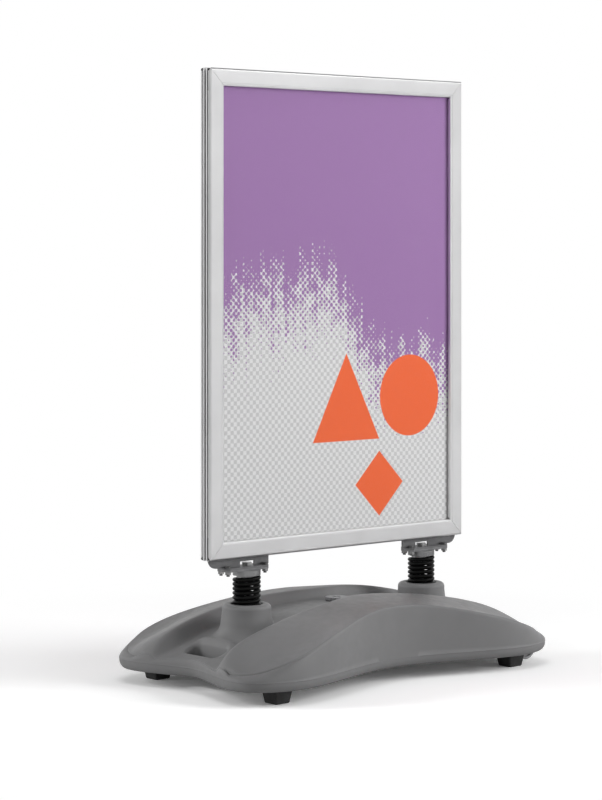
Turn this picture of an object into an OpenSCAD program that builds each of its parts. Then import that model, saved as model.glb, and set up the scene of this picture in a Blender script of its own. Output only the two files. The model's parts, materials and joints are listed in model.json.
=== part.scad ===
// Double-sided poster sign on two coil springs over a fillable moulded base.
// X runs along the panel, Y through it, Z up; the origin is on the ground under the middle.

/* [Poster] */
// Width of the poster sheet
poster_w = 594; // [420:1:841]
// Height of the poster sheet
poster_h = 841; // [594:1:1189]
// Thickness of the poster sheet
poster_t = 0.3; // [0.1:0.1:0.6]
// How far the snap rail covers the poster's edge
poster_overlap = 9; // [6:1:12]
// Thickness of the clear cover sheet
cover_t = 0.7; // [0.5:0.1:1]
// Thickness of the backing sheet
backing_t = 2; // [1:0.1:3]

/* [Snap frames] */
// Width of the rails seen from the front
rail_w = 32; // [25:1:40]
// Depth of one snap frame
frame_d = 13; // [12:0.5:20]
// Wall of the aluminium profiles
rail_wall = 1.3; // [1:0.1:1.6]
// Outer radius of the snap rail's rounded nose
nose_r = 4.5; // [4:0.1:5]
// Gap left between the mitred ends of two rails
mitre_gap = 0.5; // [0.3:0.1:0.8]
// What an end stands back from the 45 degree plane when all rails are open
open_gap = 0.4; // [0.3:0.05:1]
// Furthest that a snap rail opens, in degrees
snap_open = 95; // [60:5:95]

/* [Brackets] */
// Distance of a spring's axis from the middle of the sign
spring_x = 222; // [180:1:235]
// How far the bolted plates sit outward of the spring's axis
plate_shift = 8.5; // [0:0.5:12]
// Length of the bolted plates
plate_l = 100; // [90:1:120]
// Depth of the bolted plates
plate_d = 36; // [32:1:44]
// Thickness of each bolted plate
plate_t = 3.5; // [2.5:0.5:5]
// Thickness of the upright tongue held between the frames
tongue_t = 4; // [3:0.5:6]
// Height of the tongue left open below the panel
tongue_drop = 16; // [12:1:24]
// Height of the tongue's outer arm between the frames
tongue_arm_h = 100; // [60:5:160]
// Radius of the tongue's lower outer corner
tongue_r = 18; // [8:1:30]
// Length of the slot that clears the head bolt
slot_l = 34; // [26:1:40]
// Height of the slot that clears the head bolt
slot_h = 8.5; // [8:0.5:12]
// Spacing of the plate bolts along the plates
bolt_dx = 88; // [78:1:90]
// Spacing of the plate bolts across the plates
bolt_dy = 20; // [18:1:24]
// Thread diameter of the plate bolts
bolt_d = 6; // [5:1:8]
// Thread diameter of the head bolt and the base bolt
main_bolt_d = 10; // [8:1:12]
// Clearance of a bolt in its hole, on the radius
bolt_clear = 0.25; // [0.15:0.05:0.4]
// Clearance of a thread in its nut, on the radius
thread_clear = 0.05; // [0.02:0.01:0.1]

/* [Springs] */
// Outside diameter of the spring
spring_od = 52; // [44:1:56]
// Diameter of the spring wire
wire_d = 7; // [5:0.5:8]
// Height of the spring from its seat to its head
spring_h = 64; // [50:1:90]
// Number of coils
coils = 7; // [5:0.5:8]
// Diameter of the bright collar on top of the spring
collar_d = 51; // [46:1:54]
// Height of the bright collar
collar_h = 10; // [6:1:16]
// Depth of the plugs that fill the spring's ends
plug_h = 18; // [12:1:24]
// Sway of the panel to each side, in degrees
sway_max = 20; // [5:1:25]

/* [Base tank] */
// Depth of the base at its waist
waist_d = 326; // [300:2:360]
// How much deeper the base grows towards its lobes, each side
lobe_swell = 79; // [40:1:90]
// Distance from the middle at which the lobes are full
lobe_x = 297; // [280:1:320]
// Half length of the base at its ends' waists
end_x = 350; // [340:1:370]
// How far the lobes reach past the ends' waists, before rounding
lobe_reach = 98; // [60:1:110]
// Height of the ridges above the tank's underside at mid length
ridge_h = 125; // [115:1:140]
// Fall of the ridges from mid length to the ends
ridge_fall = 58; // [30:1:60]
// Height of the valley above the tank's underside at mid length
valley_h = 107; // [95:1:110]
// Fall of the valley from mid length to the ends
valley_fall = 73.5; // [60:0.5:75]
// Height of the outer crease above the underside at mid length
crease_h = 112.5; // [100:0.5:114]
// Fall of the outer crease over the half length
crease_fall = 119; // [80:1:125]
// Lowest height of the crease, round the lobes
crease_min = 27; // [24:1:34]
// Top of the spring towers above the underside
tower_h = 123; // [112:1:130]
// Radius of a spring tower
tower_r = 45; // [40:1:50]
// Depth of the socket that the spring stands in
socket_depth = 12; // [6:1:20]
// Clearance round the spring in its socket, on the radius
socket_clear = 2; // [1:0.5:4]
// Width of the hand slots, along the base
hand_w = 32; // [26:1:36]
// Length of the hand slots, across the base
hand_l = 90; // [80:1:100]
// Distance of the hand slots from the middle
hand_x = 316; // [310:1:322]
// Radius of the hand slots' corners
hand_r = 12; // [6:1:13]

/* [Filler] */
// Diameter of the filler cap
cap_d = 43.5; // [36:0.5:50]
// Height of the filler cap's rim
cap_h = 5.4; // [4:0.2:10]
// Depth of the filler cap's neck below its rim
neck_h = 13; // [8:1:20]
// Radius of the filler cap's neck
neck_r = 13; // [10:0.5:14]
// Clearance round the cap's neck in its bush
neck_clear = 1.2; // [0.8:0.1:1.6]
// Wall of the bush in the filler opening
bush_wall = 6.8; // [5:0.2:7]
// Depth of the filler well below the neck
well_extra = 22; // [10:1:40]
// Thickness of the filler gasket
gasket_t = 1.6; // [1:0.2:3]

/* [Feet and wheels] */
// Height of the rubber feet
foot_h = 27; // [20:1:40]
// Width of a foot at the top
foot_top = 42; // [34:1:44]
// Width of a foot at the ground
foot_bottom = 33; // [24:1:36]
// Distance of the feet from the middle along the base
foot_x = 295; // [285:1:300]
// How far the feet stand outward of the waist
foot_out = 5; // [-3:1:12]
// Radius of the transport wheels
wheel_r = 26; // [22:1:28]
// Width of the transport wheels
wheel_w = 16; // [12:1:20]
// Distance of the wheels from the middle along the base
wheel_x = 349; // [345:1:351]
// How far the wheels stand inward of the waist
wheel_in = 11; // [8:1:18]
// Height at which the wheels clear the ground
wheel_lift = 5; // [3:1:8]
// Diameter of the wheel axles
axle_d = 6; // [5:0.5:8]
// Running clearance of a wheel on its axle, on the radius
axle_clear = 0.06; // [0.04:0.01:0.1]

/* [Hidden] */
$fn = 48;
e = 0.01;

// Frame sizes that follow from the poster
view_w = poster_w - 2 * poster_overlap;
view_h = poster_h - 2 * poster_overlap;
panel_w = view_w + 2 * rail_w;
panel_h = view_h + 2 * rail_w;
face_y = tongue_t / 2 + frame_d;

// Heights, from the ground up
tank_z = foot_h;
tower_z = tank_z + tower_h;
seat_z = tower_z - socket_depth;
head_z = seat_z + spring_h;
plate_z = head_z + collar_h;
foot_plate_z = plate_z + plate_t;
tongue_z = foot_plate_z + plate_t;
panel_z = tongue_z + tongue_drop;
panel_mid_z = panel_z + panel_h / 2;
plate_x = spring_x + plate_shift;
foot_y = waist_d / 2 + foot_out;
wheel_y = waist_d / 2 - wheel_in;

// Spring
spring_r = (spring_od - wire_d) / 2;
plug_r = spring_od / 2 - wire_d - 0.5;

// Depths inside one frame, measured back from its front face
back_plate_d = frame_d - rail_wall;
cover_front_d = back_plate_d - backing_t - poster_t - cover_t;
lip_end_d = cover_front_d - 0.3;
post_u = 2 * nose_r - 1;
post_w = 1.4;
stop_u = rail_w - poster_overlap - 4;
sheet_extra = 2;

// Screws that clamp both frames to a tongue
screw_d = 5;
screw_u = 14.5;
screw_head_h = 3;
screw_xs = [plate_x - 44, panel_w / 2 - 33.5];

// Hex sizes
function hex_r(d) = d * 0.96;
function head_h(d) = d * 0.65;

// ---- Base tank: one closed skin of rings over a four-lobed outline ----

// Exponents of the outline's rounded rectangle
round_x = 3.6;
round_y = 4.2;
// Ring points along half an end and along one long side
end_steps = 7;
side_steps = 26;
ring_n = 4 * end_steps + 2 * side_steps;
// Half length of the line on which the rings close
spine_x = 290;

function spow(c, k) = sign(c) * pow(abs(c), k);
// Spreads steps evenly at mid side and closer together at the lobes
function ease(u) = 0.45 * u + 0.55 * sin(90 * u);
corner_p = pow(0.5, 1 / round_x);
corner_q = pow(0.5, 1 / round_y);
function p_of(q) = pow(max(0, 1 - pow(abs(q), round_y)), 1 / round_x);
function q_of(p) = pow(max(0, 1 - pow(abs(p), round_x)), 1 / round_y);
// Place on the unit outline of ring point i, as [p, q]
function unit_at(i) =
    i <= end_steps ? let(q = corner_q * ease(i / end_steps)) [p_of(q), q]
    : i <= end_steps + side_steps ? let(p = corner_p * ease(1 - 2 * (i - end_steps) / side_steps)) [p, q_of(p)]
    : i < ring_n / 2 ? let(q = corner_q * ease((ring_n / 2 - i) / end_steps)) [-p_of(q), q]
    : i == ring_n / 2 ? [-1, 0]
    : let(m = unit_at(ring_n - i)) [m[0], -m[1]];

// Share of the lobe swelling reached at x
function swell(x) = let(t = min(1, abs(x) / lobe_x)) 0.25 * (1 - cos(180 * t)) + 0.5 * pow(t, 1.5);
// Outline of the base at ring point i
function rim(i) = let(u = unit_at(i), x = u[0] * (end_x + lobe_reach * pow(abs(u[1]), 1.5)))
    [x, u[1] * (waist_d / 2 + lobe_swell * swell(x))];

// Heights along the base, and how far the ridge stands from the centre line
function along(x) = pow(x / end_x, 2);
function ridge_z(x) = tank_z + ridge_h - ridge_fall * along(x);
function valley_z(x) = tank_z + valley_h - valley_fall * along(x);
function crease_z(x) = let(a = crease_h - crease_fall * along(x) - crease_min)
    tank_z + crease_min + 0.5 * (a + sqrt(a * a + 100));
function ridge_y(x) = 58 + 42 * x * x / (x * x + 12100);
// The end of a lobe, where the ridge rounds down to the crease
function lobe_end(y) = end_x - 6 + 34 * pow(min(abs(y), 175) / 150, 1.5);
function nose_share(x, y) = pow(max(0, 1 - pow(min(1, abs(x) / lobe_end(y)), 20)), 0.6);
function smooth_max(a, b, k) = 0.5 * (a + b + sqrt((a - b) * (a - b) + k * k));

// Height of the skin inside the crease; s runs from 1 at the crease to 0 on the ridge, then below 0
function skin_z(x, y, s) =
    let(c = crease_z(x), top = c + (ridge_z(x) - c) * nose_share(x, y))
    s > 0 ? c + (top - c) * (1 - pow(s, 1.25))
    : smooth_max(top - 1.9 * max(0, ridge_y(x) - abs(y) - 2), valley_z(x), 6);

// A point a share t of the way from the outline to the spine
function inward(i, t) = let(r = rim(i), u = unit_at(i))
    [r[0] + (spine_x * u[0] - r[0]) * t, r[1] * (1 - t)];
// A point moved inward from the outline by d millimetres
function inset(i, d) = let(r = rim(i), u = unit_at(i)) inward(i, d / norm([spine_x * u[0] - r[0], r[1]]));
function ridge_share(i) = let(r = rim(i)) max(0.12, 1 - ridge_y(0.93 * r[0]) / max(1, abs(r[1])));
// How far the crease stands inside the outline: little at the waist, more round the lobes
function crease_in(i) = let(r = rim(i))
    3.2 + 13 * pow(min(1.08, abs(r[0]) / 345), 4) * (0.1 + 0.9 * pow(min(1, abs(r[1]) / 150), 2));
function crease_share(i) = let(r = rim(i), u = unit_at(i)) crease_in(i) / norm([spine_x * u[0] - r[0], r[1]]);

// Rings of the wall from the underside over the mould's parting bead: [inset, height above the underside]
bead_z = 17.8;
wall_rings = [[12, 0], [4.5, 3], [1, 9], [0, bead_z - 1], [-0.5, bead_z], [0, bead_z + 1]];
// Rings of the shoulder between the bead and the lip below the crease, as angles of a quarter ellipse
shoulder_rings = [35, 65, 90];
crease_lip = 3;
// Rings of the band between crease and ridge, as s
band_rings = [1, 0.75, 0.5, 0.25, 0];
// Rings from the ridge to the spine, as a share of that way
inner_rings = [0.2, 0.36, 0.6, 1];

function wall_ring(w) = [for (i = [0 : ring_n - 1]) let(p = inset(i, w[0])) [p[0], p[1], tank_z + w[1]]];
function shoulder_ring(a) = [for (i = [0 : ring_n - 1])
    let(p = inset(i, (crease_in(i) - 2.2) * (1 - cos(a))), low = tank_z + bead_z + 1)
    [p[0], p[1], low + (crease_z(inset(i, crease_in(i))[0]) - crease_lip - low) * sin(a)]];
function band_ring(s) = [for (i = [0 : ring_n - 1])
    let(k = ridge_share(i), p = inward(i, k + (crease_share(i) - k) * s)) [p[0], p[1], skin_z(p[0], p[1], s)]];
function inner_ring(f) = [for (i = [0 : ring_n - 1])
    let(k = ridge_share(i), p = inward(i, k + (1 - k) * f)) [p[0], p[1], skin_z(p[0], p[1], -1)]];

// Index of point i of ring j; the last ring is the spine, shared by both sides
ring_count = len(wall_rings) + len(shoulder_rings) + len(band_rings) + len(inner_rings);
function index(j, i) = let(k = i % ring_n)
    j * ring_n + (j == ring_count - 1 && k > ring_n / 2 ? ring_n - k : k);

module tank_skin() {
    points = [
        for (w = wall_rings) each wall_ring(w),
        for (a = shoulder_rings) each shoulder_ring(a),
        for (s = band_rings) each band_ring(s),
        for (f = inner_rings) each inner_ring(f),
        [0, 0, tank_z]];
    under = len(points) - 1;
    faces = [
        for (i = [0 : ring_n - 1]) [under, index(0, i), index(0, i + 1)],
        for (j = [0 : ring_count - 2], i = [0 : ring_n - 1])
            let(a = index(j, i), b = index(j, i + 1), c = index(j + 1, i + 1), d = index(j + 1, i))
            each [if (c != d) [a, c, d], [a, b, c]]];
    polyhedron(points, [for (f = faces) [f[2], f[1], f[0]]], convexity = 8);
}

// A tower with a rounded top edge and a foot that flares into the valley
tower_edge = 8;
flare_r = 44;
flare_base_z = valley_z(spring_x) - 27;
module tower() {
    flare = [for (a = [180 : 10 : 270])
        [tower_r + 2 + flare_r * (1 + cos(a)), flare_base_z + flare_r * (1 + sin(a))]];
    edge = [for (a = [0 : 15 : 90])
        [tower_r - tower_edge + tower_edge * cos(a) - 1, tower_z - tower_edge + tower_edge * sin(a)]];
    rotate_extrude($fn = 64)
        polygon(concat([[0, tank_z + 10], [tower_r + 2 + flare_r, tank_z + 10]],
            [for (i = [len(flare) - 1 : -1 : 0]) flare[i]], edge, [[0, tower_z]]));
}

// A half-round lip along the inner edge of a hand slot
lip_r = 8;
module hand_lip() {
    x = hand_x - hand_w / 2 - lip_r;
    translate([x, 0, valley_z(x) - 4]) {
        rotate([90, 0, 0]) cylinder(r = lip_r, h = hand_l - 2 * hand_r, center = true);
        for (y = [-1, 1]) translate([0, y * (hand_l / 2 - hand_r), 0]) sphere(r = lip_r);
    }
}

module rounded_slot(w, l, r, h) {
    cube([w, l - 2 * r, h], center = true);
    cube([w - 2 * r, l, h], center = true);
    for (x = [-1, 1], y = [-1, 1])
        translate([x * (w / 2 - r), y * (l / 2 - r), 0]) cylinder(r = r, h = h, center = true, $fn = 32);
}

// Filler opening: a flat land with a bore for the threaded bush and a blind well below it
land_z = valley_z(0) + 0.6;
bush_r = neck_r + neck_clear + bush_wall;
bush_h = neck_h + 3;
land_r = bush_r + 5;

wheel_z = wheel_lift + wheel_r;
pocket_w = wheel_w + 4;
axle_l = pocket_w + 16;
recess_r = 18;
recess_h = 14;

module base_tank() {
    color([0.44, 0.44, 0.45]) difference() {
        union() {
            tank_skin();
            for (s = [-1, 1]) translate([s * spring_x, 0, 0]) tower();
            for (s = [0, 1]) mirror([s, 0, 0]) hand_lip();
            translate([0, 0, tank_z + 20]) cylinder(r = land_r, h = land_z - tank_z - 20);
        }
        for (s = [-1, 1]) {
            translate([s * spring_x, 0, 0]) {
                translate([0, 0, seat_z]) cylinder(r = spring_od / 2 + socket_clear, h = socket_depth + 1);
                translate([0, 0, tank_z - 1]) cylinder(d = main_bolt_d + 2 * bolt_clear, h = tower_h);
                translate([0, 0, tank_z - 1]) cylinder(r = recess_r, h = recess_h + 1);
            }
            translate([s * hand_x, 0, tank_z]) rounded_slot(hand_w, hand_l, hand_r, 2 * ridge_h);
            translate([wheel_x, s * wheel_y, 0]) {
                translate([0, 0, wheel_z]) rotate([90, 0, 0])
                    cylinder(r = wheel_r + 2, h = pocket_w, center = true);
                translate([-wheel_r - 2, -pocket_w / 2, 0]) cube([2 * wheel_r + 4, pocket_w, wheel_z]);
                translate([0, 0, wheel_z]) rotate([90, 0, 0])
                    cylinder(d = axle_d + 2 * thread_clear, h = axle_l, center = true);
            }
        }
        translate([0, 0, land_z - neck_h - well_extra]) cylinder(r = bush_r, h = neck_h + well_extra + 5);
    }
}

// ---- Feet, wheels, filler ----

module foot(sx, sy) {
    a = foot_bottom / 2;
    b = foot_top / 2;
    edge = 2; // bevel round the bottom
    side = [[-a + edge, 0], [a - edge, 0], [a, edge], [b, foot_h], [-b, foot_h], [-a, edge]];
    color([0.1, 0.1, 0.1]) translate([sx * foot_x, sy * foot_y, 0]) intersection() {
        rotate([90, 0, 0]) linear_extrude(foot_top + 2, center = true) polygon(side);
        rotate([90, 0, 90]) linear_extrude(foot_top + 2, center = true) polygon(side);
    }
}

module wheel(sy) {
    rim_t = 5;
    hub_r = axle_d / 2 + 4;
    web_w = wheel_w * 0.4;
    bore_r = axle_d / 2 + axle_clear;
    color([0.4, 0.4, 0.41]) translate([wheel_x, sy * wheel_y, wheel_z]) rotate([90, 0, 0]) difference() {
        rotate_extrude($fn = 64) polygon([
            [bore_r, -wheel_w / 2], [hub_r, -wheel_w / 2], [hub_r, -web_w / 2],
            [wheel_r - rim_t, -web_w / 2], [wheel_r - rim_t, -wheel_w / 2], [wheel_r - 1, -wheel_w / 2],
            [wheel_r, -wheel_w / 2 + 1], [wheel_r, wheel_w / 2 - 1], [wheel_r - 1, wheel_w / 2],
            [wheel_r - rim_t, wheel_w / 2], [wheel_r - rim_t, web_w / 2],
            [hub_r, web_w / 2], [hub_r, wheel_w / 2], [bore_r, wheel_w / 2]]);
        for (a = [0 : 72 : 288]) rotate([0, 0, a]) translate([(hub_r + wheel_r - rim_t) / 2, 0, 0])
            cylinder(r = 3.6, h = wheel_w, center = true, $fn = 24);
    }
}

module axle(sy) {
    color("silver") translate([wheel_x, sy * wheel_y, wheel_z]) rotate([90, 0, 0])
        cylinder(d = axle_d, h = axle_l, center = true);
}

module filler_gasket() {
    color([0.12, 0.12, 0.12]) translate([0, 0, land_z]) difference() {
        cylinder(d = cap_d - 3, h = gasket_t);
        translate([0, 0, -1]) cylinder(r = neck_r + 0.5, h = gasket_t + 2);
    }
}

// Bush pressed into the tank's filler opening; the cap's neck screws into it
module filler_bush() {
    color([0.2, 0.2, 0.2]) translate([0, 0, land_z - bush_h]) difference() {
        cylinder(r = bush_r, h = bush_h);
        translate([0, 0, -1]) cylinder(r = neck_r + neck_clear, h = bush_h + 2);
    }
}

module filler_cap() {
    z = land_z + gasket_t;
    grips = 18;
    color([0.36, 0.36, 0.37]) difference() {
        union() {
            translate([0, 0, z]) cylinder(d = cap_d, h = cap_h - 1);
            translate([0, 0, z + cap_h - 1]) cylinder(d1 = cap_d, d2 = cap_d - 2, h = 1);
            translate([0, 0, z - neck_h]) cylinder(r = neck_r, h = neck_h + e);
        }
        for (i = [0 : grips - 1]) rotate([0, 0, i * 360 / grips])
            translate([cap_d / 2 + 0.6, 0, z - 1]) cylinder(r = 2, h = cap_h + 2, $fn = 16);
        for (a = [0, 90]) rotate([0, 0, a])
            translate([-cap_d / 4, -2, z + cap_h - 2]) cube([cap_d / 2, 4, 3]);
        translate([0, 0, z - neck_h - 1]) cylinder(r = neck_r - 2, h = neck_h);
    }
}

// ---- Springs and their seats ----

// The wire's centre line: a helix whose first and last coils close up on their neighbours
coil_close = max(0, 1 - (wire_d + 0.05) * coils / (spring_h - wire_d)) / (2 * PI);
function coil_z(u) = wire_d / 2 + (spring_h - wire_d) * (u - coil_close * sin(360 * u));
module spring(sx) {
    per_turn = 14;
    sides = 7;
    n = ceil(coils * per_turn);
    pts = [for (k = [0 : n]) let(a = 360 * coils * k / n, z = coil_z(k / n))
        for (j = [0 : sides - 1]) let(b = 360 * j / sides, r = spring_r + wire_d / 2 * cos(b))
            [r * cos(a), r * sin(a), z + wire_d / 2 * sin(b)]];
    skin = [for (k = [0 : n - 1], j = [0 : sides - 1])
        let(a = k * sides + j, b = k * sides + (j + 1) % sides) each [[a, b, b + sides], [a, b + sides, a + sides]]];
    caps = [[for (j = [sides - 1 : -1 : 0]) j], [for (j = [0 : sides - 1]) n * sides + j]];
    color([0.08, 0.08, 0.08]) translate([sx * spring_x, 0, seat_z])
        polyhedron(pts, [for (f = concat(skin, caps)) [for (i = [len(f) - 1 : -1 : 0]) f[i]]], convexity = 10);
}

module spring_seat(sx) {
    color([0.3, 0.3, 0.3]) translate([sx * spring_x, 0, seat_z]) difference() {
        union() {
            cylinder(r = plug_r, h = plug_h - 3);
            translate([0, 0, plug_h - 3]) cylinder(r1 = plug_r, r2 = plug_r - 3, h = 3);
        }
        translate([0, 0, -1]) cylinder(d = main_bolt_d + 2 * bolt_clear, h = plug_h + 2);
    }
}

module hex(d, h) {
    cylinder(r = hex_r(d), h = h, $fn = 6);
}

// The base bolt clamps the spring seat to the tank: a head on the seat, a washer and nut in the underside recess
module base_bolt(sx) {
    top = seat_z + plug_h;
    low = tank_z + recess_h;
    color("silver") translate([sx * spring_x, 0, 0]) {
        translate([0, 0, top]) hex(main_bolt_d, head_h(main_bolt_d));
        translate([0, 0, low - 12]) cylinder(d = main_bolt_d, h = top - low + 12 + e);
        translate([0, 0, low - 2]) cylinder(d = main_bolt_d * 2.4, h = 2);
        translate([0, 0, low - 2 - 8]) hex(main_bolt_d, 8 + e);
    }
}

module spring_head(sx) {
    color([0.75, 0.75, 0.76]) translate([sx * spring_x, 0, head_z]) difference() {
        union() {
            cylinder(d = collar_d, h = collar_h);
            translate([0, 0, -plug_h]) cylinder(r = plug_r, h = plug_h + e);
        }
        translate([0, 0, -plug_h - 1]) cylinder(d = main_bolt_d + 2 * thread_clear, h = plug_h + collar_h + 2);
    }
}

// ---- Plates, brackets and their fasteners ----

module at_bolts() {
    for (x = [-1, 1], y = [-1, 1]) translate([x * bolt_dx / 2, y * bolt_dy / 2, 0]) children();
}

// One bolted plate with chamfered corners, four bolt holes and the head bolt's hole; out is the side of the sign
module bored_plate(out) {
    c = 5;
    l = plate_l / 2;
    d = plate_d / 2;
    difference() {
        linear_extrude(plate_t) polygon([[-l + c, -d], [l - c, -d], [l, -d + c], [l, d - c],
            [l - c, d], [-l + c, d], [-l, d - c], [-l, -d + c]]);
        at_bolts() translate([0, 0, -1]) cylinder(d = bolt_d + 2 * bolt_clear, h = plate_t + 2, $fn = 32);
        translate([-out * plate_shift, 0, -1]) cylinder(d = main_bolt_d + 2 * bolt_clear, h = plate_t + 2);
    }
}

module spring_plate(sx) {
    color([0.55, 0.55, 0.56]) translate([sx * plate_x, 0, plate_z]) bored_plate(sx);
}

// Foot plate with an upright tongue; the tongue's outer arm runs up between the two frames
module bracket(sx) {
    inner = spring_x - slot_l / 2 - 34;
    outer = panel_w / 2 - 7;
    arm_w = 26;
    low_h = tongue_drop + rail_w - rail_wall;
    outline = concat(
        [[inner, 0], [outer - tongue_r, 0]],
        [for (a = [-75 : 15 : 0]) [outer - tongue_r + tongue_r * cos(a), tongue_r + tongue_r * sin(a)]],
        [[outer, tongue_drop + tongue_arm_h], [outer - arm_w, tongue_drop + tongue_arm_h],
         [outer - arm_w, low_h], [inner, low_h]]);
    color([0.38, 0.38, 0.39]) {
        translate([sx * plate_x, 0, foot_plate_z]) bored_plate(sx);
        mirror([sx < 0 ? 1 : 0, 0, 0]) translate([0, 0, tongue_z]) difference() {
            rotate([90, 0, 0]) linear_extrude(tongue_t, center = true) polygon(outline);
            translate([spring_x - slot_l / 2, -tongue_t, -1]) cube([slot_l, 2 * tongue_t, slot_h + 1]);
            for (x = screw_xs) translate([x, 0, tongue_drop + screw_u]) rotate([90, 0, 0])
                cylinder(d = screw_d + 2 * bolt_clear, h = 3 * tongue_t, center = true, $fn = 32);
        }
    }
}

module plate_bolts(sx) {
    color("silver") translate([sx * plate_x, 0, tongue_z]) at_bolts() {
        hex(bolt_d, head_h(bolt_d));
        translate([0, 0, -2 * plate_t - 8]) cylinder(d = bolt_d, h = 2 * plate_t + 8 + e, $fn = 32);
    }
}

module plate_nuts(sx) {
    nut_h = 5;
    color("silver") translate([sx * plate_x, 0, plate_z - nut_h]) at_bolts() difference() {
        hex(bolt_d, nut_h);
        translate([0, 0, -1]) cylinder(d = bolt_d + 2 * thread_clear, h = nut_h + 2, $fn = 32);
    }
}

module head_bolt(sx) {
    color("silver") translate([sx * spring_x, 0, tongue_z]) {
        hex(main_bolt_d, head_h(main_bolt_d));
        translate([0, 0, -2 * plate_t - collar_h - plug_h + 4])
            cylinder(d = main_bolt_d, h = 2 * plate_t + collar_h + plug_h - 4 + e);
    }
}

// ---- Snap frames ----

// Puts a piece drawn for the front, bottom edge at the chosen face and side.
// The drawing has s along X, u up from the panel's outer edge, and d back from the front face.
SIDES = ["bottom", "right", "top", "left"];
function side_number(side) = search([side], SIDES)[0];
function side_length(side) = side_number(side) % 2 == 0 ? panel_w : panel_h;
module at_side(face, side) {
    k = side_number(side);
    edge = k % 2 == 0 ? panel_h / 2 : panel_w / 2;
    turn = face == "back" && k % 2 == 1 ? 4 - k : k;
    translate([0, 0, panel_mid_z]) rotate([0, 0, face == "back" ? 180 : 0])
        rotate([0, -90 * turn, 0]) translate([0, -face_y, -edge]) children();
}

// A section drawn in [d, u], swept along one side
module swept(len) {
    rotate([90, 0, 90]) linear_extrude(len, center = true) children();
}

// Swept pieces cut at 45 degrees at both ends
module mitred(len, gap) {
    h = len / 2 - gap / 2;
    intersection() {
        union() children();
        translate([0, -1, 0]) rotate([-90, 0, 0]) linear_extrude(frame_d + 2)
            polygon([[-h, 0], [h, 0], [h - rail_w, -rail_w], [-h + rail_w, -rail_w]]);
    }
}

// A ring of the given outer radius round the hinge line, less the side that faces inward and back
module nose_ring(outer, inner, tail) {
    far = 4 * outer;
    translate([nose_r, nose_r]) difference() {
        circle(r = outer);
        circle(r = inner);
        polygon([[0, 0], [-far * cos(tail), -far * sin(tail)], [far, -far * sin(tail)],
            [far, far], [-far, far], [-far, 0]]);
    }
}

// Snap rail: rounded nose round the hinge line, flat face with a shallow groove, bevelled inner lip
groove_u = rail_w - 5;
tail_angle = 125;
module snap_section(len) {
    w = rail_wall;
    b = rail_w;
    union() {
        swept(len) nose_ring(nose_r, nose_r - w, tail_angle);
        swept(len) polygon([[0.05, nose_r - 0.3], [0, nose_r], [0, groove_u - 0.4], [0.6, groove_u], [0.25, groove_u + 0.4],
            [1, b - 0.5], [1.8, b], [lip_end_d, b], [lip_end_d, b - 1.2], [w + 1.2, b - 1.2],
            [w + 0.5, groove_u], [w, groove_u - 1.4], [w, nose_r - 0.3]]);
    }
}

// The ends are cut back twice more: behind the hinge line, so that a rail swings clear of closed neighbours,
// and at 45 degrees from the face, so that it also clears them when all four rails stand open
module snap_rail(face, side) {
    len = side_length(side);
    color([0.86, 0.86, 0.87]) at_side(face, side) difference() {
        mitred(len, mitre_gap) snap_section(len);
        for (m = [0, 1]) mirror([m, 0, 0]) translate([len / 2 - mitre_gap / 2, 0, 0]) {
            translate([0, nose_r, 0]) rotate([0, -asin(1 / sqrt(3)), 45]) beyond();
            translate([-open_gap, 0, 0]) rotate([0, 0, 45]) beyond();
        }
    }
}

// All that lies beyond a plane square to x
module beyond() {
    translate([0, -2 * rail_w, -2 * rail_w]) cube(4 * rail_w);
}

// Fixed rail: back plate, outer wall, hinge post with its bead, and the stop that holds the sheets in place
bead_r = 1.7;
module fixed_section(len) {
    d = frame_d;
    w = rail_wall;
    n = nose_r;
    p = post_u;
    union() {
        swept(len) translate([n, n]) circle(r = bead_r);
        swept(len) polygon([[d, 0], [2 * n + 0.5, 0], [2 * n + 0.5, w], [back_plate_d, w], [back_plate_d, p], [n + 0.8, p],
            [n + 0.8, n], [n - 0.8, n], [n - 0.8, p + post_w], [back_plate_d, p + post_w], [back_plate_d, stop_u],
            [cover_front_d, stop_u], [cover_front_d, stop_u + w], [back_plate_d, stop_u + w],
            [back_plate_d, rail_w - 1], [d, rail_w - 1]]);
    }
}

module fixed_rail(face, side) {
    len = side_length(side);
    color([0.7, 0.7, 0.71]) difference() {
        at_side(face, side) mitred(len, 0) fixed_section(len);
        if (side == "bottom") translate([0, 0, panel_z + screw_u]) for (s = [-1, 1], x = screw_xs)
            translate([s * x, 0, 0]) rotate([90, 0, 0])
                cylinder(d = screw_d + 2 * bolt_clear, h = 4 * frame_d, center = true, $fn = 32);
    }
}

// One sheet of the poster stack, from depth d, on one face
module sheet(face, d, t, extra) {
    w = poster_w + 2 * extra;
    h = poster_h + 2 * extra;
    translate([0, 0, panel_mid_z]) rotate([0, 0, face == "back" ? 180 : 0])
        translate([-w / 2, d - face_y, -h / 2]) cube([w, t, h]);
}
module backing(face) { color([0.93, 0.93, 0.93]) sheet(face, back_plate_d - backing_t, backing_t, sheet_extra); }
module poster(face) { color([0.62, 0.46, 0.67]) sheet(face, cover_front_d + cover_t, poster_t, 0); }
module cover(face) { color([0.9, 0.93, 0.95, 0.3]) sheet(face, cover_front_d, cover_t, sheet_extra); }

// L-shaped keys in the corners of the fixed rails
module corner_keys(face) {
    leg = 40;
    t = 1.9;
    w = post_u - rail_wall - 0.6;
    color([0.6, 0.6, 0.6]) for (side = SIDES) at_side(face, side)
        translate([-side_length(side) / 2 + rail_wall + 0.3, back_plate_d - t, rail_wall + 0.3]) {
            cube([leg, t, w]);
            cube([w, t, leg]);
        }
}

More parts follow.
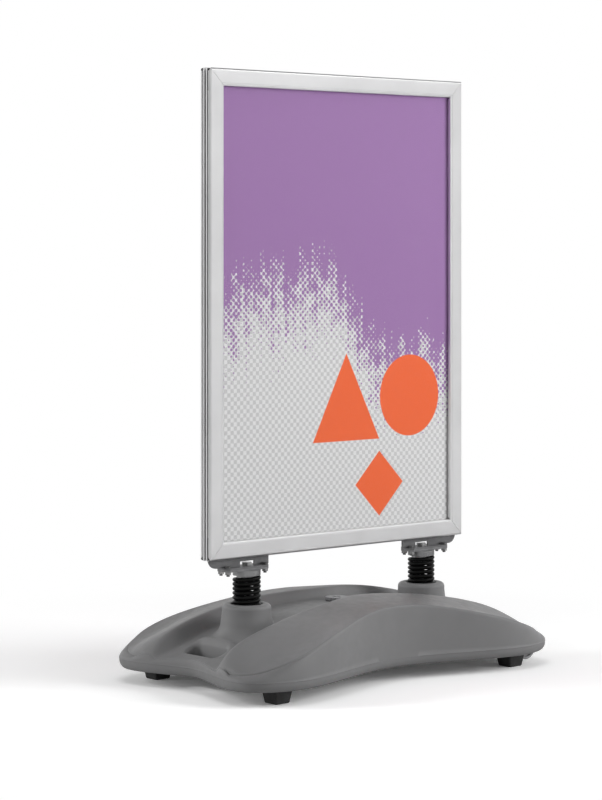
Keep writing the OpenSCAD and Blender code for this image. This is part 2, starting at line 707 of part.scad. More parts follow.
// Leaf springs in the channel that hold a snap rail shut
module snap_springs(face) {
    leaf_l = 30;
    t = 0.8;
    b = back_plate_d;
    u0 = post_u + post_w + 0.6;
    u1 = stop_u - 0.8;
    leaf = [[b, u0], [b, u1], [b - t, u1], [b - t, u0 + t], [4, u0 + t + 0.6], [2.6, u0 + 4],
            [2.2, u0 + 3.6], [3.4, u0]];
    // along the top and bottom they stay inboard of the clamp screws
    across = screw_xs[0] - leaf_l / 2 - 12;
    up = panel_h / 5;
    color([0.6, 0.6, 0.6]) for (side = SIDES)
        at_side(face, side) for (x = side_number(side) % 2 == 0 ? [-across, 0, across] : [-1.5 * up, -up / 2, up / 2, 1.5 * up])
            translate([x, 0, 0]) rotate([90, 0, 90]) linear_extrude(leaf_l, center = true) polygon(leaf);
}

// Spacers between the backs of the two frames, at the top corners and half way up
module panel_spacers() {
    l = 40;
    w = 20;
    color([0.25, 0.25, 0.25]) {
        for (s = [-1, 1]) {
            translate([s * panel_w / 4 - l / 2, -tongue_t / 2, panel_z + panel_h - 6 - w]) cube([l, tongue_t, w]);
            translate([s * (panel_w / 2 - 6 - w / 2) - w / 2, -tongue_t / 2, panel_mid_z - l / 2])
                cube([w, tongue_t, l]);
        }
    }
}

screw_reach = tongue_t / 2 + rail_wall;
module frame_screws() {
    color("silver") for (s = [-1, 1], x = screw_xs) translate([s * x, 0, panel_z + screw_u]) rotate([90, 0, 0]) {
        translate([0, 0, -screw_reach - 4]) cylinder(d = screw_d, h = 2 * screw_reach + 4 + e, $fn = 32);
        translate([0, 0, screw_reach]) cylinder(d = screw_d * 1.7, h = screw_head_h, $fn = 32);
    }
}
module frame_nuts() {
    nut_h = 3.5;
    color("silver") for (s = [-1, 1], x = screw_xs) translate([s * x, 0, panel_z + screw_u]) rotate([-90, 0, 0])
        translate([0, 0, screw_reach]) difference() {
            cylinder(r = screw_d * 0.9, h = nut_h, $fn = 6);
            translate([0, 0, -1]) cylinder(d = screw_d + 2 * thread_clear, h = nut_h + 2, $fn = 32);
        }
}

base_tank();
foot(-1, -1);  // foot_left_front
foot(1, -1);  // foot_right_front
foot(-1, 1);  // foot_left_back
foot(1, 1);  // foot_right_back
wheel(-1);  // wheel_front
wheel(1);  // wheel_back
axle(-1);  // axle_front
axle(1);  // axle_back
filler_cap();
filler_gasket();
filler_bush();
spring(-1);  // spring_left
spring(1);  // spring_right
spring_seat(-1);  // spring_seat_left
spring_seat(1);  // spring_seat_right
base_bolt(-1);  // base_bolt_left
base_bolt(1);  // base_bolt_right
spring_head(-1);  // spring_head_left
spring_head(1);  // spring_head_right
spring_plate(-1);  // spring_plate_left
spring_plate(1);  // spring_plate_right
bracket(-1);  // bracket_left
bracket(1);  // bracket_right
plate_bolts(-1);  // plate_bolts_left
plate_bolts(1);  // plate_bolts_right
plate_nuts(-1);  // plate_nuts_left
plate_nuts(1);  // plate_nuts_right
head_bolt(-1);  // head_bolt_left
head_bolt(1);  // head_bolt_right
backing("front");  // backing_front
backing("back");  // backing_back
poster("front");  // poster_front
poster("back");  // poster_back
cover("front");  // cover_front
cover("back");  // cover_back
fixed_rail("front", "bottom");  // fixed_front_bottom
fixed_rail("front", "right");  // fixed_front_right
fixed_rail("front", "top");  // fixed_front_top
fixed_rail("front", "left");  // fixed_front_left
fixed_rail("back", "bottom");  // fixed_back_bottom
fixed_rail("back", "right");  // fixed_back_right
fixed_rail("back", "top");  // fixed_back_top
fixed_rail("back", "left");  // fixed_back_left
snap_rail("front", "bottom");  // snap_front_bottom
snap_rail("front", "right");  // snap_front_right
snap_rail("front", "top");  // snap_front_top
snap_rail("front", "left");  // snap_front_left
snap_rail("back", "bottom");  // snap_back_bottom
snap_rail("back", "right");  // snap_back_right
snap_rail("back", "top");  // snap_back_top
snap_rail("back", "left");  // snap_back_left
corner_keys("front");  // corner_keys_front
corner_keys("back");  // corner_keys_back
snap_springs("front");  // snap_springs_front
snap_springs("back");  // snap_springs_back
panel_spacers();
frame_screws();
frame_nuts();
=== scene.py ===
# %% [markdown]
# # A spring-mounted poster sign, dressed in Blender
# The sign is a moulded plastic tank with four lobes, two coil springs, and a panel of two snap frames
# back to back. The CAD model fixes every size and every joint. This notebook adds what CAD leaves plain:
# the rolled edges of the moulding, the wound springs, the satin metal, the printed posters.

# %% Load the frame
import json
import math

import bmesh
import bpy
import numpy as np
from mathutils.geometry import delaunay_2d_cdt
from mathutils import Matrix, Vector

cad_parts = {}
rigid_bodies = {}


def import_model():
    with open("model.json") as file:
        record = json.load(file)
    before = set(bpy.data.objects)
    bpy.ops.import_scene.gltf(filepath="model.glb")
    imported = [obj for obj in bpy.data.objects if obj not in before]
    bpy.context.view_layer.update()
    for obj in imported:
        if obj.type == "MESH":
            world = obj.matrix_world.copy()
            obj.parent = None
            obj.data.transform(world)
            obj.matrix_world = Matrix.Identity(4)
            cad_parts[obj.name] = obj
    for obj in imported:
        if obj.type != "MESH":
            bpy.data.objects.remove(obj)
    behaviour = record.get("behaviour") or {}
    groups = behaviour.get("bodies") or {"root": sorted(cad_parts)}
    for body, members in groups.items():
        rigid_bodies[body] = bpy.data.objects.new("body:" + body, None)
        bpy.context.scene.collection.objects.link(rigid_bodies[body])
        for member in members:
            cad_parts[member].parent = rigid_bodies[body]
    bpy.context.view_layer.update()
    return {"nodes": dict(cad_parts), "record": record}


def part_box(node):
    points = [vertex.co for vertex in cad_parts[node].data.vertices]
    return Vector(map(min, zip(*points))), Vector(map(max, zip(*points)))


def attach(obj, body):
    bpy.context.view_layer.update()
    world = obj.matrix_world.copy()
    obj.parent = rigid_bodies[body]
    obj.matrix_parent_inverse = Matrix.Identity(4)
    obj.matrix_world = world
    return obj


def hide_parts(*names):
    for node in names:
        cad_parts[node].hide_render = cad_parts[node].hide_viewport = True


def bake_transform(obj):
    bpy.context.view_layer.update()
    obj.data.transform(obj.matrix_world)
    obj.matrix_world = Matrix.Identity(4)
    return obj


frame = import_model()
MM = 0.001

# %% [markdown]
# ## Helpers for meshes
# Every new piece below is a surface worked out as whole arrays. A grid of points becomes a mesh by joining
# each point to its neighbours along the two parameters. Whichever way a shape is drawn, its faces must look
# outwards, so the helper welds doubles and then recalculates the normals of a closed shell.

# %% Mesh helpers
def grid_faces(rows, columns):
    """Quads of a rows x columns grid of points. Quad (r, c) joins row r to r + 1 and column c to c + 1, and the
    last column joins the first again."""
    r, c = np.meshgrid(np.arange(rows - 1), np.arange(columns), indexing="ij")
    n = (c + 1) % columns
    low, high = r * columns, (r + 1) * columns
    return np.stack([low + c, low + n, high + n, high + c], -1).reshape(-1, 4)


def fan_faces(start, columns, centre):
    """Triangles that close a ring of points, which begins at index start, onto one centre point."""
    c = np.arange(columns)
    return np.stack([start + c, start + (c + 1) % columns, np.full(columns, centre)], -1)


def new_piece(name, points, faces, body, weld=1e-6, smooth=35):
    """A mesh object from an array of points in metres and lists of faces: it rides on a CAD body, unless body
    is None. Edges sharper than the angle smooth stay crisp."""
    mesh = bpy.data.meshes.new(name)
    mesh.from_pydata(np.asarray(points, float).tolist(), [], [list(f) for group in faces for f in group.tolist()])
    work = bmesh.new()
    work.from_mesh(mesh)
    bmesh.ops.remove_doubles(work, verts=work.verts, dist=weld)
    bmesh.ops.dissolve_degenerate(work, edges=work.edges, dist=weld)
    bmesh.ops.recalc_face_normals(work, faces=work.faces)
    for face in work.faces:
        face.smooth = True
    limit = math.radians(smooth)
    for edge in work.edges:
        edge.smooth = edge.calc_face_angle(0) < limit
    work.to_mesh(mesh)
    work.free()
    piece = bpy.data.objects.new(name, mesh)
    bpy.context.scene.collection.objects.link(piece)
    if body:
        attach(piece, body)
    print(name, len(mesh.vertices), "points,", len(mesh.polygons), "faces")
    return piece


def arc(centre, radius, start, stop, steps):
    """Points of an arc in the plane, from angle start to stop in degrees, steps + 1 of them."""
    a = np.radians(np.linspace(start, stop, steps + 1))
    return np.stack([centre[0] + radius * np.cos(a), centre[1] + radius * np.sin(a)], -1)


# %% [markdown]
# ## The tank's outline
# The tank is rotationally moulded, so nothing about it is square: seen from above it is a rounded rectangle
# whose long sides pull in at a waist and whose ends are hollowed between two lobes. A Subdivision Surface cage
# could make it, but a formula keeps the ridge, the crease and the valley exactly where the CAD has them.

# %% Outline of the tank
WAIST_DEPTH = 326.0
LOBE_SWELL = 79.0
LOBE_X = 297.0
END_X = 350.0
LOBE_REACH = 97.1
ROUND_X = 3.6
ROUND_Y = 4.2
SPINE_X = 290.0
UNDER_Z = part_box("base_tank")[0][2] / MM


def ease(u):
    """Steps spread evenly in the middle and closer together towards 1: a mix of u and a quarter sine."""
    return 0.45 * u + 0.55 * np.sin(np.pi / 2 * u)


def unit_outline(end_steps, side_steps):
    """The rounded unit rectangle |p|^a + |q|^b = 1 as arrays p and q, going once round from (1, 0)."""
    q_end = 0.5 ** (1 / ROUND_Y) * ease(np.arange(end_steps) / end_steps)
    p_end = (1 - q_end ** ROUND_Y) ** (1 / ROUND_X)
    p_side = 0.5 ** (1 / ROUND_X) * ease(1 - np.arange(side_steps + 1) / side_steps)
    q_side = (1 - p_side ** ROUND_X) ** (1 / ROUND_Y)
    p = np.concatenate([p_end, p_side])
    q = np.concatenate([q_end, q_side])
    half_p = np.concatenate([p, -p[-2::-1]])
    half_q = np.concatenate([q, q[-2::-1]])
    return np.concatenate([half_p, half_p[-2:0:-1]]), np.concatenate([half_q, -half_q[-2:0:-1]])


def swell(x):
    """How much of the lobes' swelling is reached at x: half a raised cosine and half a power of the distance,
    with a rounded stop at 1."""
    t = np.abs(x) / LOBE_X
    t = np.maximum(0.5 * (t + 1 - np.sqrt((t - 1) ** 2 + 0.08 ** 2)), 0)
    return 0.25 * (1 - np.cos(np.pi * t)) + 0.5 * t ** 1.5


unit_p, unit_q = unit_outline(56, 130)
rim_x = unit_p * (END_X + LOBE_REACH * np.abs(unit_q) ** 1.5)
rim_y = unit_q * (WAIST_DEPTH / 2 + LOBE_SWELL * swell(rim_x))
spine = np.stack([SPINE_X * unit_p, np.zeros_like(unit_p)], -1)
rim = np.stack([rim_x, rim_y], -1)
reach = np.linalg.norm(spine - rim, axis=1)
print("outline points:", len(rim), "size mm:", np.ptp(rim, axis=0).round(1))


def inset(distance):
    """The outline moved inwards by a distance in millimetres, towards the line on which the tank closes."""
    share = np.broadcast_to(np.asarray(distance, float), reach.shape) / reach
    return rim + (spine - rim) * share[:, None]


# %% [markdown]
# ## The tank's skin
# The top is a height over the plan. A band slopes from the ridge down to the crease; inside the ridge a steep
# wall drops into the valley, and near the ends of the lobes the ridge rounds off. The spring towers, the lips
# of the hand slots and the land for the filler cap are added to the same height, each with a smooth maximum,
# so that they grow out of the skin as a moulding does instead of sitting on it.

# %% Height of the skin
RIDGE = (125.0, 58.0)
VALLEY = (107.0, 73.5)
CREASE = (112.5, 119.0)
CREASE_MIN = 27.0
SPRING_X = 222.0
TOWER_R = 47.0
FLARE_R = 44.0
HAND = dict(x=316.0, w=32.0, l=90.0, r=12.0, edge=7.0)
LAND_R = 26.0
LAND_Z = 134.6
LAND_EDGE = 34.0
RIDGE_Y = (58.0, 42.0, 110.0)
NOSE = dict(past=2.0, reach=34.0, power=17.0, root=0.65)
LIP = dict(rise=6.5, x=291.0, wide=8.5, y=46.0)


def fall(pair, x):
    """A height that falls with the square of the distance from mid length: pair is (height, fall at the end)."""
    return UNDER_Z + pair[0] - pair[1] * (x / END_X) ** 2


def smooth_max(a, b, k):
    """The larger of two heights, rounded over a width k where they cross."""
    return 0.5 * (a + b + np.sqrt((a - b) ** 2 + k * k))


def crease_z(x):
    """Height of the crease: it falls like the ridge, but levels out round the lobes."""
    return UNDER_Z + CREASE_MIN + smooth_max(CREASE[0] - CREASE[1] * (x / END_X) ** 2 - CREASE_MIN, 0, 10)


def crease_inset(x, y):
    """How far the crease stands inside the outline: little at the waist, more round the lobes."""
    lobe = 0.1 + 0.9 * np.clip(np.abs(y) / 150, 0, 1) ** 2
    return 3.2 + 13 * np.clip(np.abs(x) / 345, 0, 1.08) ** 4 * lobe


crease_xy = inset(crease_inset(rim_x, rim_y))
quarter = len(rim) // 4 + 1
widest = int(np.argmax(crease_xy[:quarter, 0]))
crease_curve = crease_xy[widest:quarter][::-1]


def ridge_y(x):
    """Distance of the ridge from the centre line: the first value in the middle, and far out the second more,
    half of it reached at the third."""
    middle, more, half_way = RIDGE_Y
    return middle + more * x * x / (x * x + half_way ** 2)


def slot_distance(x, y):
    """Distance outwards from the edge of the nearer hand slot, a rectangle with rounded corners."""
    dx = np.abs(np.abs(x) - HAND["x"]) - (HAND["w"] / 2 - HAND["r"])
    dy = np.abs(y) - (HAND["l"] / 2 - HAND["r"])
    outside = np.hypot(np.maximum(dx, 0), np.maximum(dy, 0))
    return outside + np.minimum(np.maximum(dx, dy), 0) - HAND["r"]


def skin_z(x, y):
    """Height of the top skin in millimetres over the plan: the band and the wall, the smooth maximum of these
    with the valley and the tower's flare, a bell for the slot's inner lip, the land eased in round the middle,
    and last the quarter circle by which the skin rolls down into a hand slot."""
    ax, ay = np.abs(x), np.abs(y)
    outer = np.interp(ax, crease_curve[:, 0], crease_curve[:, 1])
    s = np.clip((ay - ridge_y(x)) / np.maximum(outer - ridge_y(x), 1), 0, 1)
    lobe_end = END_X + NOSE["past"] + NOSE["reach"] * (np.minimum(ay, 175) / 150) ** 1.5
    nose = np.clip(1 - np.minimum(ax / lobe_end, 1) ** NOSE["power"], 0, 1) ** NOSE["root"]
    low = crease_z(x)
    top = low + (fall(RIDGE, x) - low) * nose
    band = low + (top - low) * (1 - s ** 1.25)
    wall = band - 1.9 * smooth_max(ridge_y(x) - ay - 4, 0, 4)
    z = smooth_max(wall, fall(VALLEY, x), 7)
    tower = np.hypot(ax - SPRING_X, y)
    flare_low = fall(VALLEY, SPRING_X) - 27
    rise = np.clip(TOWER_R + FLARE_R - tower, 0, FLARE_R)
    flare = flare_low + FLARE_R - np.sqrt(np.maximum(FLARE_R ** 2 - rise ** 2, 0))
    flare = flare - 0.8 * np.maximum(tower - TOWER_R - FLARE_R, 0)
    z = np.where(tower < TOWER_R + FLARE_R + 30, smooth_max(flare, z, 6), z)
    lip = LIP["rise"] * np.exp(-((ax - LIP["x"]) / LIP["wide"]) ** 2) / (1 + np.exp((ay - LIP["y"]) / 4))
    z = z + lip
    land = np.clip((LAND_EDGE - np.hypot(x, y)) / (LAND_EDGE - LAND_R), 0, 1)
    land = land * land * (3 - 2 * land)
    z = z + land * (LAND_Z - z)
    d = np.clip(HAND["edge"] - slot_distance(x, y), 0, HAND["edge"])
    return z - (HAND["edge"] - np.sqrt(HAND["edge"] ** 2 - d ** 2))


print("crease at mid length, mm:", crease_curve[0].round(1))
print("skin over the middle, mm:", skin_z(np.array([0.0]), np.array([0.0])))

# %% [markdown]
# ## One mesh for the tank
# The plan of the top has holes: two towers, two hand slots and the filler bore. A constrained Delaunay
# triangulation fills exactly the region between the crease and those holes, from rings of points that lie
# closest together where the skin bends most. The walls, towers, bores and slot walls are plain grids that
# share those rings, so the tank welds into one piece. Only round the towers' feet do some edges stay open, by
# less than 0.04 mm.

# %% Triangulating the top
def circle(cx, cy, r, n):
    """n points round a circle in the plan."""
    a = np.linspace(0, 2 * np.pi, n, endpoint=False)
    return np.stack([cx + r * np.cos(a), cy + r * np.sin(a)], -1)


def slot_ring(side, grow, n=30):
    """The hand slot's outline, moved outwards by grow: four arcs of n points each."""
    r = HAND["r"] + grow
    across, along = HAND["w"] / 2 - HAND["r"], HAND["l"] / 2 - HAND["r"]
    parts = [arc((side * HAND["x"] + sx * across, sy * along), r, a, a + 90, n)
             for sx, sy, a in ((1, 1, 0), (-1, 1, 90), (-1, -1, 180), (1, -1, 270))]
    ring = np.concatenate(parts)
    step = np.concatenate([ring, ring[:1]])
    length = np.concatenate([[0], np.cumsum(np.linalg.norm(np.diff(step, axis=0), axis=1))])
    even = np.linspace(0, length[-1], 4 * n, endpoint=False)
    return np.stack([np.interp(even, length, step[:, k]) for k in (0, 1)], -1)


def turned(cx, profile):
    """Rings of RING_N points round the upright line at x = cx, one for each (radius, height) of a profile."""
    return [np.column_stack([circle(cx, 0, r, RING_N), np.full(RING_N, z)]) for r, z in profile]


def filled(rings, loose=()):
    """Triangulates a plan between closed rings of points, with more loose points inside it; gives the points,
    the triangles and the middle of each triangle."""
    edges, start = [], 0
    for ring in rings:
        k = np.arange(len(ring))
        edges.append(np.stack([start + k, start + (k + 1) % len(ring)], -1))
        start += len(ring)
    plan = np.concatenate([*rings, *loose])
    flat, _, triangles, *_ = delaunay_2d_cdt(plan.tolist(), np.concatenate(edges).tolist(), [], 1, 1e-4)
    flat = np.array([tuple(v) for v in flat])
    triangles = np.array(triangles)
    return flat, triangles, flat[triangles].mean(axis=1)


BORE_R = 21.0
RING_N = 96
slot_rows = [0, 0.25, 0.8, 1.6, 2.8, 4.4, 6.2, 8.5]
tower_rows = [0, 1, 2.2, 4, 6.5, 9.5, 13, 17, 21.5, 26, 31, 36, 41]
borders = [crease_xy]
borders += [circle(s * SPRING_X, 0, TOWER_R, RING_N) for s in (-1, 1)]
borders += [slot_ring(s, 0) for s in (-1, 1)]
borders += [circle(0, 0, BORE_R, RING_N)]
loose = [inset(crease_inset(rim_x, rim_y) + g) for g in (1.2, 2.6, 4.4, 7, 10)]
crease_share = crease_inset(rim_x, rim_y) / reach
for u in np.linspace(0, 1, 42)[3:-1]:
    share = crease_share + (1 - crease_share) * u
    loose.append(rim + (spine - rim) * share[:, None])
field = np.concatenate(loose)
field = field[np.hypot(np.abs(field[:, 0]) - SPRING_X, field[:, 1]) > TOWER_R + 43]
field = field[np.hypot(field[:, 0], field[:, 1]) > LAND_R + 2]
around = np.concatenate([circle(s * SPRING_X, 0, TOWER_R + g, RING_N) for s in (-1, 1) for g in tower_rows[1:]])
middle = np.concatenate([circle(0, 0, BORE_R + g, RING_N) for g in (1.3, 2.6, 3.9, 5)])
field = np.concatenate([field, around, middle])
field = field[slot_distance(field[:, 0], field[:, 1]) > 10]
near_slot = np.concatenate([slot_ring(s, g) for s in (-1, 1) for g in slot_rows[1:]])
flat, triangles, middles = filled(borders, [field, near_slot])
keep = np.hypot(np.abs(middles[:, 0]) - SPRING_X, middles[:, 1]) > TOWER_R
keep &= slot_distance(middles[:, 0], middles[:, 1]) > 0
keep &= np.hypot(middles[:, 0], middles[:, 1]) > BORE_R
triangles = triangles[keep]
print("top skin:", len(flat), "points,", len(triangles), "triangles")

# %% [markdown]
# ## Walls, towers and bores
# Below the crease the wall rolls over a small lip, swells out over a shoulder, and meets the mould's parting
# line, where a thin bead of plastic stands proud all the way round. Each of these is one more row of the
# outline, given as an inset and a height.

# %% Walls of the tank
PART_LOW, PART_TOP = 43.8, 45.8
UNDER_ROLL = 12.0
BOLT_BORE_R = 5.3
SOCKET_Z = 138.0
WELL_Z = 99.8


def wall_rows():
    """Rows of the outer wall from the underside up to the crease: a quarter ellipse under the edge, the
    parting bead, a quarter ellipse up to the lip, and the lip's own roll."""
    top = skin_z(crease_xy[:, 0], crease_xy[:, 1])
    full = crease_inset(rim_x, rim_y)
    zero = np.zeros_like(full)
    rows = []
    for a in np.radians(np.linspace(0, 90, 9)):
        rows.append((UNDER_ROLL * (1 - np.sin(a)) + zero, UNDER_Z + 15.5 * (1 - np.cos(a)) + zero))
    for out, z in ((0, PART_LOW), (-0.5, PART_LOW + 0.4), (-0.5, PART_TOP - 0.4), (0, PART_TOP)):
        rows.append((out + zero, z + zero))
    for b in np.radians(np.linspace(6, 90, 14)):
        rows.append(((full - 2.2) * (1 - np.cos(b)), PART_TOP + (top - 3 - PART_TOP) * np.sin(b)))
    for step, drop in ((2.0, 1.7), (1.5, 0.8), (0.8, 0.2), (0, 0)):
        rows.append((full - step, top - drop))
    points = [np.column_stack([inset(d), z]) for d, z in rows]
    return np.concatenate(points), len(rows)


def tower_rows_up(side):
    """Rows from the foot of a tower's wall over its rounded edge, down the spring socket to the bolt's bore."""
    profile = np.concatenate([
        [[46.4, 124], [45.6, 131], [45, 137]],
        arc((37, 142), 8, 0, 90, 8), arc((31.5, 147.8), 2.2, 90, 180, 4),
        [[28.6, 143], [28, 138.4], [27.4, SOCKET_Z], [18, SOCKET_Z], [BOLT_BORE_R, SOCKET_Z]]])
    foot = circle(side * SPRING_X, 0, TOWER_R, RING_N)
    rows = [np.column_stack([foot, skin_z(foot[:, 0], foot[:, 1])])]
    rows += turned(side * SPRING_X, profile)
    return np.concatenate(rows), len(rows)


def slot_rows_down(side):
    """Rows down a hand slot's wall from the rolled top edge to the underside, with the parting bead."""
    edge = slot_ring(side, 0)
    top = skin_z(edge[:, 0], edge[:, 1])
    levels = [(0, top), (0, 0.5 * (top + PART_TOP)), (0, PART_TOP), (-0.5, PART_TOP - 0.4), (-0.5, PART_LOW + 0.4),
              (0, PART_LOW), (0, UNDER_Z + 4), (1.2, UNDER_Z + 1.2), (4, UNDER_Z)]
    rows = [np.column_stack([slot_ring(side, grow), z + np.zeros(len(edge))]) for grow, z in levels]
    return np.concatenate(rows), len(rows)


points = [np.column_stack([flat, skin_z(flat[:, 0], flat[:, 1])])]
faces = [triangles]
count = len(flat)


def add_grid(rows):
    """Adds a grid of points to the tank, given as its points and its number of rows."""
    global count
    xyz, n = rows
    faces.append(grid_faces(n, len(xyz) // n) + count)
    points.append(xyz)
    count += len(xyz)


add_grid(wall_rows())
for side in (-1, 1):
    add_grid(tower_rows_up(side))
    add_grid(slot_rows_down(side))
bore = [(BORE_R, skin_z(np.array([BORE_R]), np.array([0.0]))[0]), (BORE_R, 118), (BORE_R, WELL_Z), (0.01, WELL_Z)]
add_grid((np.concatenate(turned(0, bore)), len(bore)))

# %% [markdown]
# ## The underside
# The underside is flat, with holes where the hand slots come through, a round recess under each spring for
# the base bolt's washer and nut, and a pocket for each transport wheel.

# %% Underside
RECESS_R, RECESS_TOP = 18.0, 41.0
wheel_low, wheel_high = (np.array(v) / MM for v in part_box("wheel_front"))
wheel_x = 0.5 * (wheel_low[0] + wheel_high[0])
wheel_y = -0.5 * (wheel_low[1] + wheel_high[1])
POCKET_IN, POCKET_OUT, POCKET_HALF = 29.0, 20.0, 10.0
POCKET_TOP = 58.0
pocket = np.array([wheel_x - POCKET_IN, wheel_y - POCKET_HALF, wheel_x + POCKET_OUT, wheel_y + POCKET_HALF])


def pocket_ring(side):
    """Corners of a wheel pocket in the plan."""
    x0, y0, x1, y1 = pocket
    return np.array([[x0, y0 * side], [x1, y0 * side], [x1, y1 * side], [x0, y1 * side]])


under_rim = inset(UNDER_ROLL)
holes = [under_rim] + [slot_ring(s, 4) for s in (-1, 1)]
holes += [circle(s * SPRING_X, 0, RECESS_R, RING_N) for s in (-1, 1)] + [pocket_ring(s) for s in (-1, 1)]
base_flat, base_triangles, middles = filled(holes)
keep = np.hypot(np.abs(middles[:, 0]) - SPRING_X, middles[:, 1]) > RECESS_R
keep &= slot_distance(middles[:, 0], middles[:, 1]) > 4
in_pocket = (middles[:, 0] > pocket[0]) & (middles[:, 0] < pocket[2])
in_pocket &= (np.abs(middles[:, 1]) > pocket[1]) & (np.abs(middles[:, 1]) < pocket[3])
keep &= ~in_pocket
points.append(np.column_stack([base_flat, np.full(len(base_flat), UNDER_Z)]))
faces.append(base_triangles[keep] + count)
count += len(base_flat)
for side in (-1, 1):
    recess = [(RECESS_R, UNDER_Z), (RECESS_R, RECESS_TOP), (BOLT_BORE_R, RECESS_TOP), (BOLT_BORE_R, SOCKET_Z)]
    add_grid((np.concatenate(turned(side * SPRING_X, recess)), len(recess)))
    ring = pocket_ring(side)
    rows = [np.column_stack([ring, np.full(4, z)]) for z in (UNDER_Z, POCKET_TOP)]
    rows.append(np.column_stack([np.repeat(ring.mean(axis=0)[None], 4, 0), np.full(4, POCKET_TOP)]))
    add_grid((np.concatenate(rows), 3))

tank = new_piece("tank_skin", np.concatenate(points) * MM, faces, "base", weld=2e-5, smooth=50)
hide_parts("base_tank")

# %% [markdown]
# ## Springs
# Each spring is one wire wound into a close helix of seven coils. A Screw modifier could wind it, but then the
# end coils could not close up. Here the height along the wire is a straight climb with a little of a sine taken
# away, which is slow at both ends, as far as the wire's own thickness leaves room. The springs stand between the
# base and the panel.

# %% Wound springs
SPRING_LOW, SPRING_TOP = (v / MM for v in (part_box("spring_left")[0][2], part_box("spring_left")[1][2]))
COILS = 7.0
WIRE = 7.4
COIL_R = 26 - WIRE / 2


def wound_wire(cx, rows=560, sides=20):
    """A tube round a helix. Along it, the angle is 2 pi COILS u and the height is H (u - k sin 2 pi u);
    round it, the circle lies in the plane of the radius and of the direction square to radius and wire."""
    u = np.linspace(0, 1, rows)[:, None]
    b = np.linspace(0, 2 * np.pi, sides, endpoint=False)[None, :]
    climb = SPRING_TOP - SPRING_LOW - WIRE
    close = 0.3 * max(0.0, 1 - (WIRE + 0.05) * COILS / climb) / (2 * np.pi)
    angle = 2 * np.pi * COILS * u
    slope = climb * (1 - 2 * np.pi * close * np.cos(2 * np.pi * u)) / (2 * np.pi * COILS * COIL_R)
    tilt = np.arctan(slope)
    out = COIL_R + WIRE / 2 * np.cos(b)
    along = -WIRE / 2 * np.sin(b) * np.sin(tilt)
    x = cx + out * np.cos(angle) - along * np.sin(angle)
    y = out * np.sin(angle) + along * np.cos(angle)
    z = SPRING_LOW + WIRE / 2 + climb * (u - close * np.sin(2 * np.pi * u)) + WIRE / 2 * np.sin(b) * np.cos(tilt)
    tube = np.stack(np.broadcast_arrays(x, y, z), -1).reshape(-1, 3)
    ends = tube.reshape(rows, sides, 3)[[0, -1]].mean(axis=1)
    return np.concatenate([tube, ends]), rows, sides


for side, name in ((-1, "left"), (1, "right")):
    points, rows, sides = wound_wire(side * SPRING_X)
    faces = [grid_faces(rows, sides), fan_faces(0, sides, rows * sides),
             fan_faces((rows - 1) * sides, sides, rows * sides + 1)]
    spring = new_piece("coil_" + name, points * MM, faces, None, smooth=60)
    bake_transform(spring)
    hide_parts("spring_" + name)

# %% [markdown]
# ## Rubber feet
# A foot is a soft square block that narrows to the ground, with rounded corners and a rolled lower edge. It is
# a stack of rounded squares, each given by its half width, its corner radius and its height.

# %% Feet
FOOT_POINTS = 36


def rounded_square(half, radius, n=FOOT_POINTS // 4 - 1):
    """A square with corners of the given radius: a quarter circle of n + 1 points at each corner."""
    corners = [arc((sx * (half - radius), sy * (half - radius)), radius, a, a + 90, n)
               for sx, sy, a in ((1, 1, 0), (-1, 1, 90), (-1, -1, 180), (1, -1, 270))]
    return np.concatenate(corners)


foot_rows = [(0.01, 0.005, 0.4), (13.2, 2, 0.4), (13.6, 2, 0), (14.6, 2.6, 0), (15.7, 2.9, 0.6), (16.3, 3, 1.5),
             (16.6, 3, 2.8), (20.6, 3.4, 25.6), (20.8, 3.4, 26.4), (20.8, 3.4, 27), (0.01, 0.005, 27)]
for name in ("left_front", "right_front", "left_back", "right_back"):
    low, high = (np.array(v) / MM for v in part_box("foot_" + name))
    centre = 0.5 * (low + high)
    rings = [np.column_stack([rounded_square(h, r) + centre[:2], np.full(FOOT_POINTS, z)]) for h, r, z in foot_rows]
    foot = new_piece("rubber_foot_" + name, np.concatenate(rings) * MM, [grid_faces(len(foot_rows), FOOT_POINTS)],
                     "base", weld=1e-4, smooth=50)
    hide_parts("foot_" + name)

# %% [markdown]
# ## Snap rails
# A snap rail is an extrusion: one profile, swept along its side and cut at 45 degrees at both ends. The profile
# has the rounded nose that turns on the hinge line, the flat face, a shallow groove, and the bevelled lip that
# holds the sheet. Each point of the profile keeps its own distance from the ends, so the mitres come by
# themselves. A UV map runs along the rail, for the brushed finish.

# %% Snap rail profile
RAIL_W = 32.0
NOSE_R = 4.5
RAIL_WALL = 1.3
LIP_END = 8.4
MITRE = 0.25
OPEN_GAP = 0.4
panel_low, panel_high = (np.array(v) / MM for v in (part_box("fixed_front_bottom")[0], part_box("fixed_front_top")[1]))
FACE_Y = 15.0


def rail_profile():
    """Rows of (depth behind the face, height from the outer edge): round the outside from the nose's tail to
    the lip's end, then back along the inside."""
    n, w, b, g = NOSE_R, RAIL_WALL, RAIL_W, RAIL_W - 5
    turn = np.radians(np.linspace(125, 0, 22))
    outer = np.column_stack([n - n * np.cos(turn), n - n * np.sin(turn)])
    inner = np.column_stack([n - (n - w) * np.cos(turn), n - (n - w) * np.sin(turn)])[::-1]
    face = [[0, g - 0.55], [0.12, g - 0.35], [0.55, g - 0.15], [0.62, g], [0.3, g + 0.2], [0.25, g + 0.4],
            [0.92, b - 0.75], [1.15, b - 0.4], [1.5, b - 0.12], [2.0, b], [LIP_END - 0.4, b], [LIP_END, b - 0.35],
            [LIP_END, b - 0.9], [LIP_END - 0.3, b - 1.2], [w + 1.2, b - 1.2], [w + 0.5, g], [w, g - 1.4]]
    return np.concatenate([outer, face, inner])


